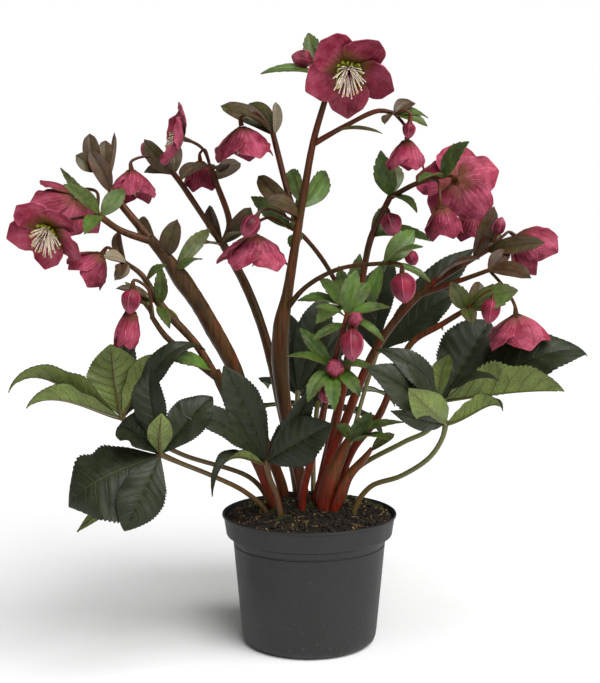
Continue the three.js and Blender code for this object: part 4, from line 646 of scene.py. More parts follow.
def mixed(tree, factor, first, second, amount=1):
    """A colour between two others. amount turns the factor down."""
    if amount != 1:
        factor = times(tree, factor, amount)
    inputs = {0: factor, 6: first, 7: second}
    return node(tree, "ShaderNodeMix", inputs, data_type="RGBA").outputs[2]


def shades(tree, factor, colour, low, high):
    """A colour between a darker and a lighter shade of itself."""
    return mixed(tree, factor, shade(colour, low), shade(colour, high))


def place_of(tree, kind):
    """Object or UV coordinates."""
    return node(tree, "ShaderNodeTexCoord").outputs[kind]


def height_of(tree):
    """How high each point stands above the floor, in metres."""
    return node(tree, "ShaderNodeSeparateXYZ", {0: place_of(tree, "Object")}).outputs["Z"]


def tone_of(tree):
    return node(tree, "ShaderNodeAttribute", attribute_name="tone").outputs["Fac"]


def along_and_across(tree):
    """A blade's UV map as the way from base to tip, and the way out from midrib to edge."""
    uv = place_of(tree, "UV")
    split = node(tree, "ShaderNodeSeparateXYZ", {0: uv}).outputs
    return uv, split["X"], sums(tree, "SUBTRACT", times(tree, split["Y"], 2), 1)


def edge_of(tree, start):
    """1 at the edges of a blade, fading to 0 this far out from its midrib."""
    return ranged(tree, sums(tree, "ABSOLUTE", along_and_across(tree)[2]), start, 1, 0, 1)


def new_group(name, inputs):
    """An empty node group with number inputs and one output, Value."""
    tree = bpy.data.node_groups.new(name, "ShaderNodeTree")
    for label, default in inputs.items():
        socket = tree.interface.new_socket(label, in_out="INPUT", socket_type="NodeSocketFloat")
        socket.default_value = default
    tree.interface.new_socket("Value", in_out="OUTPUT", socket_type="NodeSocketFloat")
    return tree, tree.nodes.new("NodeGroupInput").outputs, tree.nodes.new("NodeGroupOutput").inputs


def make_patches():
    """Soft uneven patches. Stretch draws them out along the vertical."""
    tree, given, out = new_group("Patches", {"Scale": 60, "Stretch": 1, "Detail": 3})
    upright = sums(tree, "DIVIDE", 1, given["Stretch"])
    squeeze = node(tree, "ShaderNodeCombineXYZ", {"X": 1, "Y": 1, "Z": upright}).outputs[0]
    inputs = {0: place_of(tree, "Object"), 1: squeeze}
    drawn = node(tree, "ShaderNodeVectorMath", inputs, operation="MULTIPLY").outputs[0]
    inputs = {"Vector": drawn, "Scale": given["Scale"], "Detail": given["Detail"], "Roughness": 0.6}
    cloud = node(tree, "ShaderNodeTexNoise", inputs).outputs[0]
    tree.links.new(ranged(tree, cloud, 0.3, 0.7, 0, 1), out["Value"])
    return tree


def make_side_veins():
    """The veins of a leaflet: a midrib, and side veins that leave it at a slant."""
    inputs = {"Count": 9, "Slant": 1.7, "Thickness": 0.1, "Rib": 0.07}
    tree, given, out = new_group("Side veins", inputs)
    uv, along, across = along_and_across(tree)
    away = sums(tree, "ABSOLUTE", across)
    waver = node(tree, "ShaderNodeTexNoise", {"Vector": uv, "Scale": 6, "Detail": 4}).outputs[0]
    rise = times(tree, sums(tree, "POWER", away, 1.2), given["Slant"])
    turns = sums(tree, "SUBTRACT", times(tree, along, given["Count"]), rise)
    beat = sums(tree, "PINGPONG", sums(tree, "MULTIPLY_ADD", waver, 0.3, turns), 0.5)
    thin = times(tree, given["Thickness"], sums(tree, "SUBTRACT", 1.15, away))
    side = ranged(tree, beat, 0, thin, 1, 0)
    taper = times(tree, given["Rib"], sums(tree, "SUBTRACT", 1.1, along))
    rib = ranged(tree, away, 0, taper, 1, 0)
    tree.links.new(sums(tree, "MAXIMUM", times(tree, side, 0.7), rib), out["Value"])
    return tree


def make_fan_veins():
    """Veins that run from the root of a sepal or a bract to its tip, and branch as they widen."""
    tree, given, out = new_group("Fan veins", {"Count": 9, "Waver": 0.16, "Branches": 0.5})
    uv, along, across = along_and_across(tree)
    waver = node(tree, "ShaderNodeTexNoise", {"Vector": uv, "Scale": 5, "Detail": 3}).outputs[0]
    drift = times(tree, sums(tree, "SUBTRACT", waver, 0.5), given["Waver"])
    warped = sums(tree, "MULTIPLY_ADD", drift, along, across)
    main = sums(tree, "PINGPONG", times(tree, warped, given["Count"]), 0.5)
    fine = sums(tree, "PINGPONG", times(tree, warped, times(tree, given["Count"], 3)), 0.5)
    outer = ranged(tree, along, 0.25, 0.8, 0, given["Branches"])
    branches = times(tree, ranged(tree, fine, 0, 0.16, 1, 0), outer)
    veins = sums(tree, "MAXIMUM", ranged(tree, main, 0, 0.1, 1, 0), branches)
    tree.links.new(veins, out["Value"])
    return tree


def make_net():
    """The fine net of small veins that fills a blade."""
    tree, given, out = new_group("Vein net", {"Scale": 320, "Thickness": 0.09})
    place = place_of(tree, "Object")
    shaken = node(tree, "ShaderNodeTexNoise", {"Vector": place, "Scale": 300}).outputs["Color"]
    nudge = node(tree, "ShaderNodeVectorMath", {0: shaken, 3: 0.002}, operation="SCALE").outputs[0]
    moved = node(tree, "ShaderNodeVectorMath", {0: place, 1: nudge}, operation="ADD").outputs[0]
    inputs = {"Vector": moved, "Scale": given["Scale"]}
    cells = node(tree, "ShaderNodeTexVoronoi", inputs, feature="DISTANCE_TO_EDGE")
    lines = ranged(tree, cells.outputs["Distance"], 0, given["Thickness"], 1, 0)
    tree.links.new(lines, out["Value"])
    return tree


GROUPS = {
    "Patches": make_patches,
    "Side veins": make_side_veins,
    "Fan veins": make_fan_veins,
    "Vein net": make_net,
}


def effect(tree, name, **values):
    """A shared shader group placed in a material with its own values."""
    placed = tree.nodes.new("ShaderNodeGroup")
    placed.node_tree = bpy.data.node_groups.get(name) or GROUPS[name]()
    for label, value in values.items():
        placed.inputs[label].default_value = value
    return placed.outputs["Value"]


def patches(tree, scale, detail=3, stretch=1):
    return effect(tree, "Patches", Scale=scale, Detail=detail, Stretch=stretch)


def feed(tree, colour, cloud, roughness, relief, depth, specular=0.5):
    """Feeds the Principled shader. A cloud spreads its roughness over a range, and the depth of
    its relief is in millimetres."""
    bump = node(tree, "ShaderNodeBump", {"Height": relief, "Distance": depth * MM})
    shader = tree.nodes["Principled BSDF"]
    shader.inputs["Specular IOR Level"].default_value = specular
    tree.links.new(colour, shader.inputs["Base Color"])
    tree.links.new(ranged(tree, cloud, 0, 1, *roughness), shader.inputs["Roughness"])
    tree.links.new(bump.outputs[0], shader.inputs["Normal"])


def make_pot_plastic(tree, colours):
    """Matt dark plastic with faint turned lines, scuffs and a dusting of soil."""
    fine, cloudy = patches(tree, 900, 2), patches(tree, 26, 5, 2.5)
    specks = ranged(tree, patches(tree, 420, 4), 0.9, 1, 0, 0.6)
    height = height_of(tree)
    low = ranged(tree, height, 0.004, 0.05, 1, 0)
    dust_and_sheen = times(tree, specks, sums(tree, "MULTIPLY_ADD", low, 0.5, 0.25))
    plastic = shades(tree, cloudy, colours.pot, 0.82, 1.22)
    scuffed = mixed(tree, fine, plastic, shade(colours.pot, 1.7), 0.25)
    colour = mixed(tree, dust_and_sheen, scuffed, shade(colours.grit, 0.45))
    lines = sums(tree, "PINGPONG", times(tree, height, 900), 0.5)
    relief = sums(tree, "MULTIPLY_ADD", lines, 0.25, fine)
    feed(tree, colour, cloudy, (0.42, 0.58), relief, 0.05)


def make_compost(tree, colours):
    """Damp peaty compost, from near black to brown, with pale specks."""
    lumps, grains = patches(tree, 160, 6), patches(tree, 1100)
    specks = ranged(tree, patches(tree, 520), 0.8, 0.95, 0, 0.6)
    dark = shades(tree, lumps, colours.compost, 0.35, 1.3)
    colour = mixed(tree, specks, dark, shade(colours.grit, 0.5))
    feed(tree, colour, grains, (0.8, 1), grains, 0.8)


def make_clouded(tree, colours, scale, low, high, amount, roughness, depth):
    """A plain finish between two tints, (colour, shade) each, by one cloud."""
    first, second = (shade(getattr(colours, name), factor) for name, factor in (low, high))
    cloud = patches(tree, scale)
    feed(tree, mixed(tree, cloud, first, second, amount), cloud, roughness, cloud, depth)


def make_grains(tree, colours, scale, low, high, spots, amount, roughness, depth):
    """Small things, each with a tone of its own between two tints, spotted with a third."""
    tints = [shade(getattr(colours, name), factor) for name, factor in (low, high, spots)]
    cloud = patches(tree, scale)
    lit = mixed(tree, tone_of(tree), tints[0], tints[1])
    feed(tree, mixed(tree, cloud, lit, tints[2], amount), cloud, roughness, cloud, depth)


def make_stem_skin(tree, colours):
    """A smooth fleshy stem with lengthwise streaks: red at its foot, brown above and dark at its
    top, clouded with olive. Only the reddest one is green a little above its foot."""
    brown, red, green = colours.stem_brown, colours.stem_red, colours.stem_green
    streaks, broad = patches(tree, 420, 4, 16), patches(tree, 150, 3, 12)
    blotches, olive = patches(tree, 70, 4, 3), patches(tree, 44, 4, 2)
    height, tone = height_of(tree), tone_of(tree)
    redness = times(tree, tone, ranged(tree, height, 0.11, 0.34, 1, 0.3))
    mottled = ranged(tree, sums(tree, "MULTIPLY_ADD", blotches, 0.5, redness), 0.25, 1, 0, 1)
    skin = mixed(tree, mottled, shade(brown, 0.75), shade(red, 0.8))
    clouded = mixed(tree, olive, skin, shade(green, 0.5), 0.45)
    top = ranged(tree, height, 0.32, 0.44, 0, 0.85)
    dark = mixed(tree, top, clouded, shade(red, 0.38))
    reddest = ranged(tree, tone, 0.92, 0.95, 0, 1)
    young = times(tree, reddest, ranged(tree, height, 0.128, 0.165, 0, 0.85))
    fresh = mixed(tree, young, dark, shade(green, 0.75))
    upper = ranged(tree, height, 0.3, 0.34, 1, 0.2)
    middle = times(tree, ranged(tree, height, 0.16, 0.2, 0, 1), upper)
    dimmed = mixed(tree, middle, fresh, shade(green, 0.28), 0.6)
    shaded = mixed(tree, broad, dimmed, shade(brown, 0.28), 0.8)
    bright = mixed(tree, mottled, shade(brown, 2.2), shade(red, 2.4))
    colour = mixed(tree, streaks, shaded, bright, 0.32)
    feed(tree, colour, streaks, (0.34, 0.52), streaks, 0.12, 0.2)


def make_petiole_skin(tree, colours):
    """A leaf stalk, from green to brown by its tone, flushed with red at its foot."""
    streaks, blotches = patches(tree, 460, 3, 14), patches(tree, 60, 4, 3)
    foot = ranged(tree, height_of(tree), 0.11, 0.19, 0.6, 0)
    skin = mixed(tree, tone_of(tree), colours.stem_green, colours.stem_brown)
    flushed = mixed(tree, times(tree, blotches, foot), skin, colours.stem_red)
    colour = mixed(tree, streaks, flushed, shade(colours.stem_green, 1.3), 0.35)
    feed(tree, colour, streaks, (0.36, 0.55), streaks, 0.12)


def make_leaf_upper(tree, colours):
    """The dark upper side of a leaf: sunken pale veins, a dark edge and a soft shine. It is painted
    lighter the higher its tone, as painted light, and its pale whitish patches are painted sheen.
    """
    leaf, sheen_cloud = colours.leaf_upper, patches(tree, 150, 6)
    veins = effect(tree, "Side veins", Thickness=0.08, Rib=0.06)
    net = effect(tree, "Vein net", Scale=420, Thickness=0.16)
    # Painted light and random tone: lit lightens a leaflet in random patches, and by its tone,
    # which is partly painted light.
    lit = sums(tree, "MULTIPLY_ADD", patches(tree, 45, 5), 0.5, times(tree, tone_of(tree), 0.5))
    blade = shades(tree, lit, leaf, 0.4, 1.9)
    # Painted sheen: pale whitish patches spread over the leaf.
    dust_and_sheen = mixed(tree, sheen_cloud, blade, shade(leaf, 2.3), 0.34)
    netted = mixed(tree, net, dust_and_sheen, shade(leaf, 2.2), 0.16)
    veined = mixed(tree, veins, netted, shade(colours.leaf_under, 0.8), 0.26)
    colour = mixed(tree, edge_of(tree, 0.93), veined, shade(leaf, 0.5))
    sunken = sums(tree, "SUBTRACT", times(tree, net, -0.15), veins)
    feed(tree, colour, sheen_cloud, (0.42, 0.62), sunken, 0.3, 0.3)


def make_leaf_under(tree, colours):
    """The pale lower side of a leaf, with raised brown veins. It is painted lighter the higher its
    tone, as painted light.
    """
    leaf, clouds = colours.leaf_under, patches(tree, 55, 4)
    veins = effect(tree, "Side veins", Thickness=0.12, Rib=0.08)
    net = effect(tree, "Vein net", Scale=330, Thickness=0.12)
    # Painted light and random tone: lit lightens a leaflet in random patches, and by its tone,
    # which is partly painted light.
    lit = sums(tree, "MULTIPLY_ADD", clouds, 0.6, times(tree, tone_of(tree), 0.4))
    blade = shades(tree, lit, leaf, 0.65, 1.55)
    netted = mixed(tree, net, blade, shade(leaf, 0.55), 0.4)
    colour = mixed(tree, veins, netted, shade(colours.stem_brown, 0.9), 0.6)
    raised = sums(tree, "MULTIPLY_ADD", net, 0.35, veins)
    feed(tree, colour, clouds, (0.48, 0.66), raised, 0.35)


def make_bract_side(tree, colours, light, roughness, relief):
    """One side of a bract: green, brown or dry, as its tone goes from 0 through 1 to 2. Its veins
    stand up where relief is 1 and lie sunken where it is -1."""
    clouds, broad, tone = patches(tree, 75, 4), patches(tree, 52, 4), tone_of(tree)
    veins = effect(tree, "Fan veins", Count=5, Waver=0.1, Branches=0.4)
    fine = times(tree, patches(tree, 210, 5), 0.5)
    ripe = ranged(tree, sums(tree, "MULTIPLY_ADD", clouds, 0.3, tone), 0.15, 1.1, 0, 1)
    fresh = shades(tree, broad, colours.bract_green, 0.4 * light, 1.7 * light)
    green = mixed(tree, fine, fresh, shade(colours.leaf_under, 1.5 * light))
    brown = shades(tree, fine, colours.bract_brown, 0.7 * light, 2.2 * light)
    live = mixed(tree, ripe, green, brown)
    dappled = mixed(tree, ranged(tree, tone, 1, 1.9, 0, 1), live, colours.bract_dry)
    pale = shade(colours.leaf_under, 2.2 * light)
    veined = mixed(tree, veins, dappled,
                   mixed(tree, ripe, pale, shade(colours.bract_brown, 0.5)), 0.45)
    edge = times(tree, edge_of(tree, 0.84), ranged(tree, tone, 0.1, 0.6, 0.5, 0.75))
    colour = mixed(tree, edge, veined, shade(colours.stem_red, 0.45))
    feed(tree, colour, clouds, roughness, times(tree, veins, relief), 0.3)


def make_sepal_face(tree, colours, vein, branches, strength, flush, relief):
    """One face of a sepal, from rose to wine by its tone, finely streaked, with a pale rim and an
    olive root. Its random paler patches are painted highlights, its broad wine patches are painted
    shade, and its warm brown patches are painted sheen. vein is the (colour, shade) of its veins,
    and relief is as on a bract."""
    clouds, broad, sheen = patches(tree, 75, 5), patches(tree, 34, 4), patches(tree, 48)
    veins = effect(tree, "Fan veins", Count=4, Waver=0.5, Branches=branches)
    streaks = effect(tree, "Fan veins", Count=15, Waver=0.7, Branches=0.8)
    tone, along = tone_of(tree), along_and_across(tree)[1]
    body = mixed(tree, tone, shade(colours.rose, 1.15), colours.wine)
    pale = mixed(tree, tone, colours.blush, colours.rose)
    # Painted highlight: lit lightens the sepal towards pale rose in random patches, together with
    # its real fine streaks.
    lit = sums(tree, "MULTIPLY_ADD", streaks, 0.16, times(tree, clouds, 0.85))
    # Painted shade: broad patches darkened towards deep wine.
    dusk = mixed(tree, broad, body, shade(colours.wine, 0.9), 0.8)
    # Painted sheen: patches tinted warm brown.
    warm = mixed(tree, sheen, dusk, shade(colours.bract_brown, 1.3), 0.2)
    blade = mixed(tree, lit, warm, pale, 0.6)
    broken = times(tree, veins, ranged(tree, clouds, 0.1, 0.8, 0.2, strength))
    veined = mixed(tree, broken, blade, shade(getattr(colours, vein[0]), vein[1]))
    rimmed = mixed(tree, edge_of(tree, 0.94), veined, colours.blush, 0.3)
    root = ranged(tree, along, 0.1, 0.2 + 0.3 * flush, flush, 0)
    colour = mixed(tree, root, rimmed, colours.flush)
    raised = times(tree, veins, relief)
    feed(tree, colour, patches(tree, 90, 4), (0.5, 0.66), raised, 0.25, 0.15)


def make_bud_skin(tree, colours):
    """The closed sepals of a bud: dark lengthwise veins, a brown root and a paler tip and edge."""
    veins = effect(tree, "Fan veins", Count=4, Waver=0.2, Branches=0.6)
    clouds, along = patches(tree, 130, 4, 2), along_and_across(tree)[1]
    body = mixed(tree, clouds, shade(colours.wine, 0.9), shade(colours.rose, 1.1))
    tipped = mixed(tree, ranged(tree, along, 0.55, 1, 0, 0.55), body, colours.blush)
    rooted = mixed(tree, ranged(tree, along, 0, 0.22, 0.7, 0), tipped, colours.stem_brown)
    veined = mixed(tree, veins, rooted, shade(colours.wine, 0.6), 0.6)
    colour = mixed(tree, edge_of(tree, 0.86), veined, shade(colours.blush, 1.1), 0.5)
    feed(tree, colour, clouds, (0.42, 0.6), veins, 0.2, 0.35)


def make_style(tree, colours):
    """Seed cases, green below and dark red towards their tips."""
    clouds, along = patches(tree, 400), along_and_across(tree)[1]
    ripe = ranged(tree, along, 0, 0.4, 0, 1)
    body = mixed(tree, ripe, shade(colours.nectary, 0.6), colours.style)
    colour = mixed(tree, clouds, body, shade(colours.style, 1.6), 0.4)
    feed(tree, colour, clouds, (0.35, 0.5), clouds, 0.05)


def make_studio_floor(tree, colours):
    """A pale matt studio floor."""
    cloud = patches(tree, 3)
    colour = mixed(tree, cloud, (0.94, 0.94, 0.94, 1), (0.96, 0.96, 0.96, 1))
    feed(tree, colour, cloud, (0.85, 0.95), cloud, 0.05)


# Each finish is the function that makes it, and the values that this function takes.

FINISHES = {
    "pot plastic": (make_pot_plastic,),
    "compost": (make_compost,),
    "grit": (
        make_grains, 700, ("grit", 0.5), ("grit", 1.15), ("compost", 1.4), 0.4, (0.6, 0.9), 0.3),
    "fibre": (
        make_grains, 240, ("grit", 0.28), ("grit", 0.85), ("compost", 1.2), 0.4, (0.7, 0.95), 0.2),
    "moss": (make_clouded, 300, ("moss", 0.55), ("moss", 1.35), 1, (0.7, 0.95), 0.3),
    "stem skin": (make_stem_skin,),
    "petiole skin": (make_petiole_skin,),
    "leaf upper side": (make_leaf_upper,),
    "leaf underside": (make_leaf_under,),
    "bract upper side": (make_bract_side, 0.85, (0.38, 0.56), -1),
    "bract underside": (make_bract_side, 1.15, (0.44, 0.62), 1),
    "sepal inner face": (make_sepal_face, ("wine", 0.7), 0.6, 0.4, 0.95, -1),
    "sepal outer face": (make_sepal_face, ("blush", 1.2), 0.7, 0.85, 0.5, 1),
    "bud skin": (make_bud_skin,),
    "nectary": (make_clouded, 500, ("nectary", 0.75), ("nectary", 1.3), 1, (0.35, 0.5), 0.05),
    "filament": (make_clouded, 260, ("filament", 1), ("blush", 1), 0.15, (0.45, 0.6), 0.05),
    "anther": (
        make_grains, 1500, ("anther", 1), ("grit", 0.8), ("filament", 1), 0.3, (0.7, 0.9), 0.15),
    "style": (make_style,),
    "studio floor": (make_studio_floor,),
}


def finish(name):
    """The material of this name, made the first time that it is asked for."""
    if name not in bpy.data.materials:
        material = bpy.data.materials.new(name)
        material.use_nodes = True
        maker, *values = FINISHES[name]
        maker(material.node_tree, bpy.context.scene.hellebore_colours, *values)
    return bpy.data.materials[name]


# ---- stalks, blades and sepals, in millimetres ------------------------------------------------


def smooth_route(points, step=5):
    """Samples a smooth curve through points [x, y, z, radius] as pairs of place and radius."""
    places = [Vector(point[:3]) for point in points]
    radii = [point[3] for point in points]
    reached = [places[0] * 2 - places[1], *places, places[-1] * 2 - places[-2]]
    route = []
    for i in range(len(places) - 1):
        before, start, end, after = reached[i:i + 4]
        back, here, on = (max((b - a).length, 0.01) ** 0.5
                          for a, b in ((before, start), (start, end), (end, after)))
        leave = (start - before) / back - (end - before) / (back + here) + (end - start) / here
        arrive = (end - start) / here - (after - start) / (here + on) + (after - end) / on
        samples = max(2, round((end - start).length / step))
        for j in range(samples):
            t = j / samples
            place = (start * (2 * t ** 3 - 3 * t ** 2 + 1) + end * (3 * t ** 2 - 2 * t ** 3)
                     + leave * here * (t ** 3 - 2 * t ** 2 + t) + arrive * here * (t ** 3 - t ** 2))
            route.append((place, radii[i] + (radii[i + 1] - radii[i]) * t))
    return [*route, (places[-1], radii[-1])]


def tubes(routes, roundness=1):
    """Round stalks along routes of places and radii, as one mesh with closed ends."""
    curve = bpy.data.curves.new("stalks", "CURVE")
    curve.dimensions = "3D"
    curve.bevel_depth = 1
    curve.bevel_resolution = roundness
    curve.use_fill_caps = True
    for route in routes:
        spline = curve.splines.new("POLY")
        spline.points.add(len(route) - 1)
        for point, (place, radius) in zip(spline.points, route):
            point.co = (*(place * MM), 1)
            point.radius = radius * MM
    stalks = bpy.data.objects.new("stalks", curve)
    bpy.context.collection.objects.link(stalks)
    only(stalks)
    bpy.ops.object.convert(target="MESH")
    return cleaned(bpy.context.active_object)


def directions(facing):
    """Three directions at right angles, the first of them the one given."""
    axis = Vector(facing).normalized()
    helper = Vector((0, 0, 1)) if abs(axis.z) < 0.8 else Vector((0, 1, 0))
    right = helper.cross(axis).normalized()
    return axis, right, axis.cross(right)


def pedicel_route(way):
    """The thin stalk that ends square behind a flower or a bud."""
    end = Vector(way["base"])
    axis = Vector(way["facing"]).normalized()
    points = [[*point, PEDICEL["radius"]] for point in way["route"]]
    points.append([*(end - axis * PEDICEL["straight"]), PEDICEL["radius"]])
    points.append([*(end - axis * PEDICEL["gap"]), PEDICEL["disc"]])
    return smooth_route(points, 2.5)


def sheet(name, shape):
    """A flat template whose corners hold (way from base to tip, way across, lift)."""
    along, across = SQUARES[name]
    template = added(name, bpy.ops.mesh.primitive_grid_add, size=2, calc_uvs=True,
                     x_subdivisions=along, y_subdivisions=across)
    for corner in template.data.vertices:
        corner.co = shape((corner.co.x + 1) / 2, corner.co.y)
    return template


def between(value, low, high):
    """0 below low, 1 above high, and a smooth way between them."""
    t = min(max((value - low) / (high - low), 0), 1)
    return t * t * (3 - 2 * t)


def middle_hollow(away, width):
    """A groove along the middle of a blade, 1 deep and this wide."""
    return math.exp(-(away / width) ** 2)


def fan_ridges(across, count, height):
    """Shallow ridges that run along a blade and fade out at its edges."""
    return height * math.cos(count * math.pi * across) * (1 - abs(across) ** 4)


def toothed(kind, along, across, share, lean):
    """A corner moved along and across to make teeth that point forward, in steps of three."""
    step = round(along * 3 * kind["teeth"]) % 3
    reach = 1 + kind["tooth"] * (-0.6, 0.1, 0.8)[step] * share
    return along + (0, 0.1, lean)[step] * share / (3 * kind["teeth"]), across * reach


def leaflet_shape(along, across):
    """A leaflet with forward teeth on its edges, puckered between its side veins."""
    away = abs(across)
    uneven = 0.7 + 0.6 * noise.noise(Vector((along * 11, across, 4)))
    share = between(along, 0.16, 0.34) * away ** 4 * uneven
    beat = (along * LEAFLET["veins"] - away ** 1.2 * LEAFLET["slant"]) % 1
    pucker = math.sin(math.pi * beat) * away ** 0.7 * (1 - away ** 5) * between(along, 0.04, 0.25)
    lift = 0.075 * pucker - 0.05 * middle_hollow(away, 0.09)
    return Vector((*toothed(LEAFLET, along, across, share, 0.95), lift))


def ripe_bract_shape(along, across):
    """A blunt oval bract without teeth, hollowed along its middle."""
    away = abs(across)
    rounded = along - 0.12 * away ** 2 * along ** 3
    lift = fan_ridges(across, 5, 0.05) - 0.1 * middle_hollow(away, 0.2)
    return Vector((rounded, across, lift))


def bract_shape(along, across):
    """A bract with a few teeth near its tip and shallow lengthwise veins."""
    away = abs(across)
    share = between(along, 0.5, 0.7) * away ** 4
    lift = fan_ridges(across, 5, 0.05) - 0.08 * middle_hollow(away, 0.12)
    return Vector((*toothed(BRACT, along, across, share, 0.8), lift))


def sepal_shape(along, across):
    """A broad sepal with a rounded tip, a crease down its middle and a fan of shallow ridges."""
    away = abs(across)
    rounded = along - 0.2 * away ** 2 * along ** 4
    ridges = fan_ridges(across, 7, 0.018) * between(along, 0.1, 0.5)
    crease = 0.05 * middle_hollow(away, 0.12) * (1 - 0.4 * along)
    return Vector((rounded, across, ridges - crease))


def laid(template, place):
    """A copy of a template, with each corner moved from (along, across, lift) to its place."""
    copy = copied(template)
    for corner in copy.data.vertices:
        corner.co = place(*corner.co) * MM
    return copy


def rippled(phases, along, across, waves, finer, share):
    """Two waves on top of each other along a blade's edge, with phases of its own on each side."""
    hand = 0 if across > 0 else 1
    coarse = math.sin(phases[hand] + along * waves * math.tau)
    return coarse + share * math.sin(phases[hand + 2] + along * finer * math.tau)


def blade_place(base, tip, half_width, face, arch, kind, chance, fold=None, hook=0):
    """Where a blade's corners come: its midrib arches from base to tip, and its halves fold up."""
    start = Vector(base)
    line = Vector(tip) - start
    length = line.length
    ahead = line.normalized()
    out = (Vector(face) - ahead * Vector(face).dot(ahead)).normalized()
    side = out.cross(ahead)
    fold = kind["fold"] if fold is None else fold
    power = math.log(0.5) / math.log(kind["widest"])
    rising, falling = 1 + hook, 1 - 0.45 * hook
    crest = rising / (rising + falling)
    tallest = crest ** rising * (1 - crest) ** falling
    twist = chance.uniform(-1, 1) * kind["twist"]
    sway = chance.uniform(-1, 1) * kind["sway"] * length
    phases = [chance.uniform(0, math.tau) for _ in range(4)]
    waviness = kind["wave"] * bpy.context.scene.hellebore_sizes.waviness

    def height(u):
        return arch * length * u ** rising * (1 - u) ** falling / tallest

    def place(along, across, lift, drop=0):
        u = min(max(along, 0), 1)
        low, high = max(u - 0.02, 0), min(u + 0.02, 1)
        tilt = math.atan((height(high) - height(low)) / ((high - low) * length))
        up = out * math.cos(tilt) - ahead * math.sin(tilt)
        broad = half_width * math.sin(math.pi * u ** power) ** kind["fullness"]
        half = max(broad, kind["narrowest"])
        turn = twist * (u - 0.3)
        wide = side * math.cos(turn) + up * math.sin(turn)
        over = up * math.cos(turn) - side * math.sin(turn)
        ripple = rippled(phases, u, across, kind["waves"], kind["waves"] * 2.3, 0.5)
        wave = waviness * across ** 2 * ripple * math.sin(math.pi * u) ** 0.5
        raised = lift + wave - kind["droop"] * across ** 2
        bent = fold * (1 - 0.18 * abs(across))
        reach = across * math.cos(bent) - math.copysign(raised * math.sin(bent), across)
        rise = (math.hypot(across, 0.12) - 0.12) * math.sin(bent) + raised * math.cos(bent)
        middle = start + line * along + out * height(u) + side * (sway * math.sin(math.pi * u))
        return middle + wide * (half * reach) + over * (half * rise - drop)

    return place


def sepal_place(flower, azimuth, chance):
    """Where a sepal's corners come, round its flower's axis."""
    axis, right, up = directions(flower["facing"])
    opening = chance.uniform(-5, 5)
    root = math.radians(flower["open"][0] + opening * 0.3)
    tip = math.radians(flower["open"][1] + opening)
    length = flower["length"] * chance.uniform(0.97, 1.04)
    out = right * math.cos(azimuth) + up * math.sin(azimuth)
    turn = axis.cross(out)
    phases = [chance.uniform(0, math.tau) for _ in range(4)]
    waviness = SEPAL["wave"] * bpy.context.scene.hellebore_sizes.waviness

    def place(along, across, lift):
        angle = root + (tip - root) * along
        reach = SEPAL["reach"] + length * (math.sin(angle) - math.sin(root)) / (tip - root)
        rise = SEPAL["rise"] + length * (math.cos(root) - math.cos(angle)) / (tip - root)
        fullness = math.sin(math.pi * 0.94 * max(along, 0) ** 0.85) ** 0.75
        half = max(flower["length"] * SEPAL["breadth"] * fullness, SEPAL["neck"])
        curl = max(math.sin(angle), SEPAL["flattest"]) / max(reach, SEPAL["hub_top"]) * half
        spread = math.sin(curl * across) / curl * half
        hollow = (1 - math.cos(curl * across)) / curl * half
        ripple = rippled(phases, along, across, 1.6, 3.7, 0.6)
        wave = waviness * ripple * abs(across) ** 3 * between(along, 0.1, 0.6)
        inward = axis * math.cos(angle) - out * math.sin(angle)
        raised = hollow + half * (SEPAL["slant"] * across + lift + wave)
        return Vector(flower["base"]) + out * reach + axis * rise + turn * spread + inward * raised

    return place


def thickened(sheets):
    """Joins thin sheets and gives them their thickness. Their lower faces get the next material."""
    thickness = bpy.context.scene.hellebore_sizes.blade
    piece = joined("blades", sheets)
    return modified(piece, "SOLIDIFY", thickness=thickness, offset=0, material_offset=1)


def stem_parts(name, green_template, ripe_template, chance):
    """One stem with its branches, its bracts and the pedicels of its flowers and buds."""
    stem = STEMS[name]
    thick = [smooth_route(points) for points in stem["stalks"]]
    ways = [way for table in (FLOWERS, BUDS) for way in table.values() if way["stem"] == name]
    thin = [pedicel_route(way) for way in ways]
    for route in thick:
        for i, (place, radius) in enumerate(route):
            route[i] = (place, radius * (1 + 0.07 * noise.noise(place / 9)))
    stalks = [dressed(tubes(thick, 3), stem["redness"], "stem skin")]
    if thin:
        stalks.append(dressed(tubes(thin), stem["redness"] * 0.7, "stem skin"))
    bracts = []
    for base, tip, half_width, face, ripeness in stem["bracts"]:
        ripe = ripeness > RIPE_FROM
        kind, template = (RIPE_BRACT, ripe_template) if ripe else (BRACT, green_template)
        place = blade_place(base, tip, half_width, face, kind["arch"], kind, chance)
        bract = laid(template, place)
        bracts.append(dressed(bract, ripeness, "bract upper side", "bract underside"))
    return [*stalks, thickened(bracts)] if bracts else stalks


def rib_route(place):
    """The rib under a leaflet, thinner towards its tip."""
    route = []
    for i in range(RIB["points"]):
        along, radius = i / RIB["points"], RIB["radius"] - RIB["taper"] * i
        sunk = place(along, 0, leaflet_shape(along, 0).z, radius + RIB["sink"])
        route.append((sunk, radius))
    return route


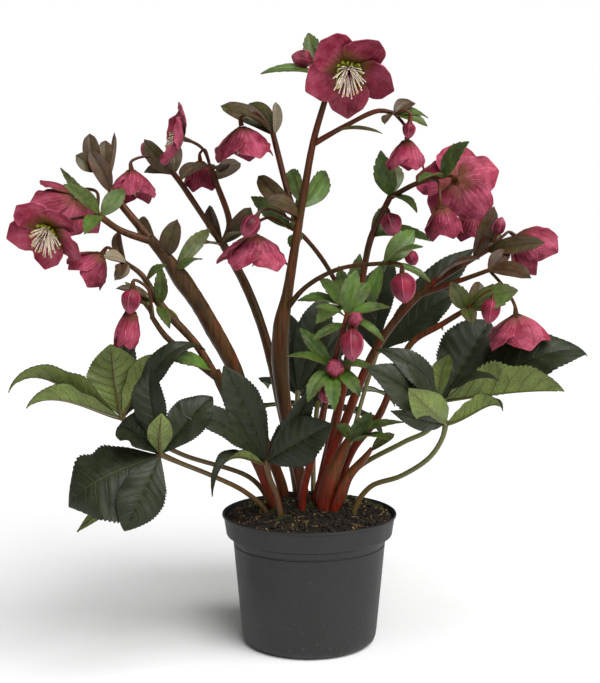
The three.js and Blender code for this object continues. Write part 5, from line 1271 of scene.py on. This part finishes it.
def leaf_parts(name, leaflet_template, chance):
    """One leaf: its stalk, its leaflets, and the rib under each leaflet."""
    leaf = LEAVES[name]
    route = smooth_route(leaf["petiole"])
    below, end = Vector(leaf["petiole"][-2][:3]), Vector(leaf["petiole"][-1][:3])
    root = end - (end - below).normalized() * LEAFLET["root"]
    leaflets, ribs = [], []
    for tip, half_width, face, arch, fold, hook in leaf["leaflets"]:
        place = blade_place(root, tip, half_width, face, arch, LEAFLET, chance, fold, hook)
        leaflet = laid(leaflet_template, place)
        # Painted light and shade: a leaflet's tone is partly random and partly set by its stalk's
        # tint, so leaves with greener stalks get lighter leaflets and leaves with browner stalks
        # darker ones.
        tone = 0.6 * chance.random() + 0.6 * (1 - leaf["brownness"])
        leaflets.append(dressed(leaflet, min(tone, 1), "leaf upper side", "leaf underside"))
        ribs.append(rib_route(place))
    stalks = [dressed(stalk, leaf["brownness"], "petiole skin")
              for stalk in (tubes([route], 3), tubes(ribs))]
    return [*stalks, thickened(leaflets)]


def sepal_parts(flower, sepal_template, chance):
    """A flower's sepals and the hub that they stand on."""
    axis, base = Vector(flower["facing"]).normalized(), Vector(flower["base"])
    hub = [(base + axis * height, radius) for height, radius in HUB]
    sepals = []
    for i in range(SEPALS):
        azimuth = flower["turn"] + math.tau * i / SEPALS
        sepal = laid(sepal_template, sepal_place(flower, azimuth, chance))
        tone = min(max(flower["shade"] + chance.uniform(-0.1, 0.1), 0), 1)
        sepals.append(dressed(sepal, tone, "sepal inner face", "sepal outer face"))
    return [dressed(tubes([hub], 2), 0.2, "stem skin"), thickened(sepals)]


def smoothed(routes, step):
    return [smooth_route([[*place, radius] for place, radius in route], step) for route in routes]


def nectary_routes(around, room, size, chance):
    """Horned nectaries in a ring, each wider towards its mouth."""
    horns = []
    for i in range(CENTRE["nectaries"]):
        angle = math.tau * (i + chance.uniform(-0.25, 0.25)) / CENTRE["nectaries"]
        grow = size * chance.uniform(0.8, 1.1)
        ring = room * grow
        horns.append([(around(angle, 0.34 * room, 0), 0.8), (around(angle, 0.6 * ring, 1.6), 1),
                      (around(angle, 0.84 * ring, 3.4 * grow), 1.2),
                      (around(angle, 0.98 * ring, 5.6 * grow), 1.3),
                      (around(angle, ring, 6.6 * grow), 0.8)])
    return smoothed(horns, 1.4)


def stamens(around, length, spread, sag, anther_template, chance):
    """Threads that sag, and their anthers. The outer ones of a big flower have shed theirs."""
    threads, anthers = [], []
    count, steps = bpy.context.scene.hellebore_sizes.stamens, CENTRE["steps"]
    for i in range(count):
        angle = i * GOLDEN_ANGLE
        share = ((i + 0.5) / count) ** 0.5
        reach = spread * (0.25 + 0.85 * share) * chance.uniform(0.85, 1.1)
        height = length * (0.4 - 0.2 * share ** 2) * chance.uniform(0.85, 1.1)
        fall = sag * chance.uniform(0.7, 1.3)
        thread = []
        for j in range(steps + 1):
            t = j / steps
            place = around(angle, 1 + 1.4 * share + reach * t ** 1.3, height * t) + fall * t ** 2.2
            thread.append((place, CENTRE["thread"] - CENTRE["taper"] * t))
        threads.append(thread)
        ahead = (thread[-1][0] - thread[-2][0]).normalized()
        aside = directions(ahead)[1] * chance.uniform(-1, 1)
        turned = Vector((0, 0, 1)).rotation_difference(ahead + aside)
        shape = Matrix.Translation(thread[-1][0]) @ turned.to_matrix().to_4x4()
        shed = share > CENTRE["shed_from"] and length > CENTRE["usual_length"]
        size = Matrix.Scale(CENTRE["shed_anther" if shed else "anther"], 4)
        anther = copied(anther_template)
        anther.data.transform(Matrix.Scale(MM, 4) @ shape @ size)
        tone, skin = (0, "filament") if shed else (chance.random(), "anther")
        anthers.append(dressed(anther, tone, skin))
    return threads, anthers


def seed_case_routes(around, length, sag, chance):
    """Seed cases that lean apart, each drawn out into a fine tip."""
    cases = []
    for i in range(CENTRE["seed_cases"]):
        angle = math.tau * i / CENTRE["seed_cases"] + 0.4
        lean = chance.uniform(0.8, 1.2)
        cases.append([(around(angle, 1.2, 0), 1.3), (around(angle, 1.7, 3), 1.5),
                      (around(angle, 1.5 * lean, 6), 0.8), (around(angle, 2 * lean, 9), 0.55),
                      (around(angle, 3.2 * lean, length * 0.36) + sag * 0.3, 0.5)])
    return smoothed(cases, 2)


def centre_parts(flower, anther_template, chance):
    """A flower's middle: nectaries, stamens and seed cases."""
    axis, right, up = directions(flower["facing"])
    seat = Vector(flower["base"]) + axis * (HUB[-1][0] + PEDICEL["gap"])
    length = flower["length"]
    root, tip = (math.radians(angle) for angle in flower["open"])
    spread = length * (0.1 + 0.27 * math.cos(tip))
    sag = Vector((0, 0, -1)) * length * CENTRE["sag"]
    room = min(10, 0.5 + 5.6 / math.tan(max(root, math.radians(1))))

    def around(angle, reach, height):
        return seat + (right * math.cos(angle) + up * math.sin(angle)) * reach + axis * height

    horns = nectary_routes(around, room, length / CENTRE["usual_length"], chance)
    threads, anthers = stamens(around, length, spread, sag, anther_template, chance)
    cases = seed_case_routes(around, length, sag, chance)
    return [dressed(tubes(horns), 0, "nectary"), dressed(tubes(threads, 0), 0, "filament"),
            dressed(tubes(cases), 0, "style"), *anthers]


def bud_place(bud, azimuth, chance):
    """Where a bud's sepal comes, wrapped round the bud with one edge under its neighbour."""
    axis, right, up = directions(bud["facing"])
    base = Vector(bud["base"])
    phase = chance.uniform(0, math.tau)

    def place(along, across, lift):
        if along < BUD["fullest"]:
            swell = 0.4 + 0.6 * math.sin(math.pi / 2 * along / BUD["fullest"])
        else:
            past = (along - BUD["fullest"]) / (1 - BUD["fullest"])
            swell = math.cos(math.pi / 2 * min(past, 1) ** 1.35) ** 0.8
        fold = BUD["overlap"] * across * between(along, 0, 0.3)
        rough = 0.15 * math.sin(phase + along * 9)
        uneven = (fold + rough) * (1 - 0.6 * along)
        radius = max(bud["radius"] * swell + uneven + lift * bud["radius"], 0.5)
        angle = azimuth + math.radians(BUD["wrap"]) * across
        out = right * math.cos(angle) + up * math.sin(angle)
        return base + axis * (bud["length"] * along) + out * radius

    return place


def bud_parts(bud, sepal_template, chance):
    """A closed bud of overlapping sepals, with a core that closes its root."""
    axis, base = Vector(bud["facing"]).normalized(), Vector(bud["base"])
    sepals = []
    for i in range(SEPALS):
        sepal = laid(sepal_template, bud_place(bud, math.tau * i / SEPALS + 0.3, chance))
        sepal.data.flip_normals()
        sepals.append(dressed(sepal, 0, "bud skin", "bud skin"))
    core = [(base + axis * bud["length"] * height, radius * bud["radius"])
            for height, radius in BUD_CORE]
    return [dressed(tubes([core], 2), 0, "bud skin"), thickened(sepals)]


# ---- pot and soil -----------------------------------------------------------------------------


def ring_stack(name, sides, rings):
    """A closed turned body, raised ring by ring from its floor: [radius, height] pairs."""
    (radius, height), *others = rings
    body = added(name, bpy.ops.mesh.primitive_circle_add, vertices=sides, radius=radius * MM,
                 fill_type="NGON", location=(0, 0, height * MM))
    bpy.ops.object.transform_apply(location=True)
    bpy.ops.object.mode_set(mode="EDIT")
    bpy.ops.mesh.select_mode(type="EDGE")
    bpy.ops.mesh.select_all(action="SELECT")
    for next_radius, next_height in others:
        climb = (0, 0, (next_height - height) * MM)
        bpy.ops.mesh.extrude_edges_move(TRANSFORM_OT_translate={"value": climb})
        share = next_radius / radius
        bpy.ops.transform.resize(value=(share, share, 1), center_override=(0, 0, next_height * MM))
        radius, height = next_radius, next_height
    bpy.ops.mesh.extrude_edges_move(TRANSFORM_OT_translate={"value": (0, 0, 0)})
    bpy.ops.mesh.merge(type="CENTER")
    bpy.ops.object.mode_set(mode="OBJECT")
    return cleaned(body)


def pot_profile():
    """The pot's wall from the middle of its foot, out, over its lip and down inside."""
    rim, foot, top = POT["rim_radius"], POT["foot_radius"], POT["height"]
    band = top - POT["band_height"]
    wall = POT["wall"]
    return [
        [20, 0], [foot - 7, 0], [foot - 3.6, 0.9], [foot - 1.3, 3], [foot - 0.2, 6],
        [foot + 0.4, 10], [rim - 12.2, band - 36], [rim - 10.1, band - 12],
        [rim - 9.75, band - 8.6],
        [rim - 10.25, band - 8.2], [rim - 10.2, band - 7.4], [rim - 9.6, band - 7],
        [rim - 8.9, band - 4.2], [rim - 8.5, band - 2.6], [rim - 4.9, band - 0.4],
        [rim - 4, band], [rim - 3.5, band + 1.2], [rim - 3.3, band + 3], [rim - 1.7, top - 4.6],
        [rim - 1.5, top - 3.2], [rim - 0.9, top - 2.6], [rim - 0.2, top - 2.1], [rim, top - 1.2],
        [rim - 0.2, top - 0.4], [rim - 0.8, top], [rim - 1.5, top - 0.2], [rim - 1.9, top - 1],
        [rim - 3.4 - wall, band + 2], [rim - 9.4 - wall, band - 7], [foot - wall, 7.6],
        [foot - wall - 3, POT["floor"]], [20, POT["floor"]],
    ]


def soil_height(x, y):
    """How high the compost stands at a place: a mound, with lumps of three sizes on it."""
    share = min(math.hypot(x, y) / SOIL["edge_radius"], 1)
    edge, middle = SOIL["edge_height"], SOIL["middle_height"]
    mound = middle + (edge - middle) * share ** SOIL["dome"]
    rough = 0
    for layer, (size, height) in enumerate(((13, 2.6), (5, 1.5), (2, 0.7)), 1):
        rough += noise.noise(Vector((x / size, y / size, layer))) * height
    return mound + rough * (1 - share ** 12)


def soil_profile():
    """The compost's bed, up inside the pot's wall and in over its top, which is still flat."""
    rim, foot = POT["rim_radius"], POT["foot_radius"]
    band, floor = POT["height"] - POT["band_height"], POT["floor"] + SOIL["lift"]
    inset = POT["wall"] + PEDICEL["gap"]
    wall_side = [[20, floor], [foot - 3 - inset, floor], [foot - inset, 7.6],
                 [rim - 9.4 - inset, band - 7], [rim - 3.4 - inset, band + 2]]
    top_side = [[SOIL["edge_radius"] * (1 - i / SOIL["rings"]), SOIL["edge_height"]]
                for i in range(SOIL["rings"])]
    return wall_side + top_side


def grain(name, jitter, stretch):
    """A small rough grain, for many copies."""
    template = added(name, bpy.ops.mesh.primitive_ico_sphere_add, subdivisions=1, radius=1)
    chance = random.Random(SEEDS["grain"])
    for corner in template.data.vertices:
        corner.co *= 1 + chance.uniform(-jitter, jitter)
    return stretched(template, stretch)


def on_ring(angle, reach):
    return reach * math.cos(angle), reach * math.sin(angle)


def scattered(template, count, kind, chance, *finishes):
    """Copies of a grain strewn over the compost, each turned and sized by chance."""
    parts = []
    for _ in range(count):
        angle = chance.uniform(0, math.tau)
        reach = (SOIL["edge_radius"] - SOIL["margin"]) * chance.random() ** 0.5
        x, y = on_ring(angle, reach)
        size = chance.uniform(*kind["sizes"])
        turned = Matrix.Rotation(chance.uniform(0, math.tau), 4, "Z")
        tipped = Matrix.Rotation(chance.uniform(0, math.pi), 4, "X")
        place = Matrix.Translation((x, y, soil_height(x, y) + size * kind["lift"]))
        part = copied(template)
        part.data.transform(Matrix.Scale(MM, 4) @ place @ turned @ tipped @ Matrix.Scale(size, 4))
        parts.append(dressed(part, chance.random(), *finishes))
    return parts


# ---- operators --------------------------------------------------------------------------------


class HELLEBORE_OT_add_pot(bpy.types.Operator):
    """Moulds the nursery pot, with its rim band, its groove and its drain holes"""

    bl_idname = "hellebore.add_pot"
    bl_label = "Pot"

    def execute(self, context):
        pot = ring_stack("pot", POT["sides"], pot_profile())
        drills = []
        for i in range(POT["drain_count"]):
            angle = math.tau * (i + 0.5) / POT["drain_count"]
            x, y = on_ring(angle, POT["drain_ring"])
            drills.append(tubes([[(Vector((x, y, height)), POT["drain_radius"])
                                  for height in POT["drill"]]], 6))
        drill = joined("drill", drills)
        modified(pot, "BOOLEAN", operation="DIFFERENCE", object=drill, solver="EXACT")
        discard(drill)
        grown("pot_moulded", [dressed(pot, 0, "pot plastic")], "pot", CREASE["pot"])
        return {"FINISHED"}


class HELLEBORE_OT_add_soil(bpy.types.Operator):
    """Fills the pot with compost, and strews crumbs, grit, fibres and moss over it"""

    bl_idname = "hellebore.add_soil"
    bl_label = "Soil"

    def execute(self, context):
        chance = random.Random(SEEDS["soil"])
        bed = ring_stack("bed", SOIL["sides"], soil_profile())
        for corner in bed.data.vertices:
            x, y = corner.co.x / MM, corner.co.y / MM
            if corner.co.z > (SOIL["edge_height"] - 0.1) * MM:
                corner.co.z = soil_height(x, y) * MM
        grown("soil_bed", [dressed(bed, 0, "compost")], "soil", CREASE["compost"])
        crumb = grain("crumb", 0.3, (1, 0.8, 0.7))
        count = context.scene.hellebore_sizes.crumbs
        grown("soil_crumbs", scattered(crumb, count, CRUMB, chance, "compost"))
        grown("grit_grains", scattered(crumb, count // 2, GRIT, chance, "grit"))
        discard(crumb)
        self.add_fibres(chance)
        self.add_moss(chance)
        return {"FINISHED"}

    def add_fibres(self, chance):
        """Fine roots and slivers of bark that lie on the compost."""
        fibres = []
        for _ in range(FIBRE["count"]):
            angle, reach = chance.uniform(0, math.tau), FIBRE["reach"] * chance.random() ** 0.5
            x, y = on_ring(angle, reach)
            heading, bend = chance.uniform(0, math.tau), chance.uniform(-0.2, 0.2)
            radius = chance.uniform(0.25, 0.5)
            points = []
            for _ in range(FIBRE["points"]):
                points.append((Vector((x, y, soil_height(x, y) + FIBRE["lift"])), radius))
                step = chance.uniform(0.6, 2)
                x, y = x + step * math.cos(heading), y + step * math.sin(heading)
                heading += bend
            if math.hypot(x, y) < SOIL["edge_radius"] - FIBRE["margin"]:
                fibres.append(points)
        grown("soil_fibres", [dressed(tubes(fibres, 0), 0.6, "fibre")])

    def add_moss(self, chance):
        """Short tufts of moss in a few low cushions."""
        sprigs = []
        for _ in range(MOSS["cushions"]):
            angle = chance.uniform(0, math.tau)
            reach = chance.uniform(MOSS["nearest"], MOSS["farthest"])
            middle = Vector((*on_ring(angle, reach), 0))
            for _ in range(MOSS["sprigs"]):
                way, out = chance.uniform(0, math.tau), MOSS["spread"] * chance.random() ** 0.7
                foot = middle + Vector((*on_ring(way, out), 0))
                if foot.length > SOIL["edge_radius"] - MOSS["margin"]:
                    continue
                foot.z = soil_height(foot.x, foot.y) - MOSS["sink"]
                lean = Vector((chance.uniform(-1, 1), chance.uniform(-1, 1), 0))
                tip = foot + lean + Vector((0, 0, chance.uniform(1.6, 3.2)))
                sprigs.append([(foot, 0.6), ((foot + tip) / 2, 0.45), (tip, 0.12)])
        grown("moss_tufts", [dressed(tubes(sprigs, 0), 0, "moss")])


class HELLEBORE_OT_add_stems(bpy.types.Operator):
    """Grows the flowering stems with their branches, bracts and pedicels"""

    bl_idname = "hellebore.add_stems"
    bl_label = "Stems"

    def execute(self, context):
        chance = random.Random(SEEDS["stems"])
        templates = sheet("bract", bract_shape), sheet("ripe bract", ripe_bract_shape)
        for name in STEMS:
            grown(name + "_grown", stem_parts(name, *templates, chance), name)
        discard(*templates)
        return {"FINISHED"}


class HELLEBORE_OT_add_leaves(bpy.types.Operator):
    """Grows the leaves: stalks and toothed, veined leaflets"""

    bl_idname = "hellebore.add_leaves"
    bl_label = "Leaves"

    def execute(self, context):
        chance = random.Random(SEEDS["leaves"])
        template = sheet("leaflet", leaflet_shape)
        for name in LEAVES:
            grown(name + "_grown", leaf_parts(name, template, chance), name)
        discard(template)
        return {"FINISHED"}


class HELLEBORE_OT_add_flowers(bpy.types.Operator):
    """Opens the flowers: five sepals each, nectaries, stamens and seed cases"""

    bl_idname = "hellebore.add_flowers"
    bl_label = "Flowers"

    def execute(self, context):
        chance = random.Random(SEEDS["flowers"])
        template = sheet("sepal", sepal_shape)
        ball = added("anther", bpy.ops.mesh.primitive_uv_sphere_add, segments=6,
                     ring_count=4, radius=1)
        anther = stretched(ball, (1, 0.65, 1.35))
        for name, flower in FLOWERS.items():
            sepals = sepal_parts(flower, template, chance)
            grown(name + "_grown", sepals, name, CREASE["sepals"])
            node_name = name.replace("flower", "stamens")
            core = node_name if node_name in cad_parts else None
            grown(node_name + "_grown", centre_parts(flower, anther, chance), core)
        discard(template, anther)
        return {"FINISHED"}


class HELLEBORE_OT_add_buds(bpy.types.Operator):
    """Closes the buds, each of five overlapping sepals"""

    bl_idname = "hellebore.add_buds"
    bl_label = "Buds"

    def execute(self, context):
        chance = random.Random(SEEDS["buds"])
        template = sheet("bud sepal", sepal_shape)
        for name, bud in BUDS.items():
            parts = bud_parts(bud, template, chance)
            grown(name + "_grown", parts, name, CREASE["sepals"])
        discard(template)
        return {"FINISHED"}


class HELLEBORE_OT_add_stage(bpy.types.Operator):
    """Lays the pale floor and sets the soft lights and the camera"""

    bl_idname = "hellebore.add_stage"
    bl_label = "Stage"

    def execute(self, context):
        self.add_floor()
        self.add_lights(context)
        self.add_camera(context)
        return {"FINISHED"}

    def add_floor(self):
        floor = added("studio_floor", bpy.ops.mesh.primitive_circle_add, vertices=FLOOR["sides"],
                      radius=FLOOR["radius"], fill_type="NGON", location=(0, 0, FLOOR["height"]))
        bpy.ops.object.transform_apply(location=True)
        floor.data.materials.append(finish("studio floor"))

    def add_lights(self, context):
        world = bpy.data.worlds.new("Soft white")
        world.use_nodes = True
        tree = world.node_tree
        seen = node(tree, "ShaderNodeLightPath").outputs["Is Camera Ray"]
        strength = ranged(tree, seen, 0, 1, LIGHT["ambient"], LIGHT["backdrop"])
        tree.nodes["Background"].inputs["Color"].default_value = (1, 1, 1, 1)
        tree.links.new(strength, tree.nodes["Background"].inputs["Strength"])
        context.scene.world = world
        context.scene.view_settings.view_transform = "Standard"
        sun = bpy.data.lights.new("Soft key", "SUN")
        sun.energy = LIGHT["key"]
        sun.angle = math.radians(LIGHT["softness"])
        key = bpy.data.objects.new("Soft key", sun)
        key.rotation_euler = (math.radians(LIGHT["tilt"]), 0, math.radians(LIGHT["turn"]))
        context.collection.objects.link(key)

    def add_camera(self, context):
        camera = bpy.data.cameras.new("Camera")
        camera.sensor_fit = "VERTICAL"
        camera.sensor_height = CAMERA["sensor"]
        camera.lens = CAMERA["lens"]
        camera.clip_end = 50
        stand = bpy.data.objects.new("Camera", camera)
        stand.location = CAMERA["place"]
        stand.rotation_euler = (math.radians(90 - CAMERA["pitch"]), 0, 0)
        context.collection.objects.link(stand)
        context.scene.camera = stand


class HELLEBORE_PT_builder(bpy.types.Panel):
    """Lists the steps that build the plant, and the settings that they read"""

    bl_idname = "HELLEBORE_PT_builder"
    bl_label = "Potted hellebore"
    bl_space_type = "VIEW_3D"
    bl_region_type = "UI"
    bl_category = "Hellebore"

    def draw(self, context):
        for operator in OPERATORS:
            self.layout.operator(operator.bl_idname)
        for settings in (context.scene.hellebore_sizes, context.scene.hellebore_colours):
            box = self.layout.box()
            for label in settings.__annotations__:
                box.prop(settings, label)


OPERATORS = (
    HELLEBORE_OT_add_pot,
    HELLEBORE_OT_add_soil,
    HELLEBORE_OT_add_stems,
    HELLEBORE_OT_add_leaves,
    HELLEBORE_OT_add_flowers,
    HELLEBORE_OT_add_buds,
    HELLEBORE_OT_add_stage,
)
CLASSES = (PlantColours, PlantSizes, *OPERATORS, HELLEBORE_PT_builder)


def register():
    for one in CLASSES:
        bpy.utils.register_class(one)
    bpy.types.Scene.hellebore_colours = PointerProperty(type=PlantColours)
    bpy.types.Scene.hellebore_sizes = PointerProperty(type=PlantSizes)


def unregister():
    del bpy.types.Scene.hellebore_sizes
    del bpy.types.Scene.hellebore_colours
    for one in reversed(CLASSES):
        bpy.utils.unregister_class(one)


def main():
    register()
    bpy.ops.hellebore.add_pot()
    bpy.ops.hellebore.add_soil()
    bpy.ops.hellebore.add_stems()
    bpy.ops.hellebore.add_leaves()
    bpy.ops.hellebore.add_flowers()
    bpy.ops.hellebore.add_buds()
    bpy.ops.hellebore.add_stage()
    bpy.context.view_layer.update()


if __name__ == "__main__":
    main()
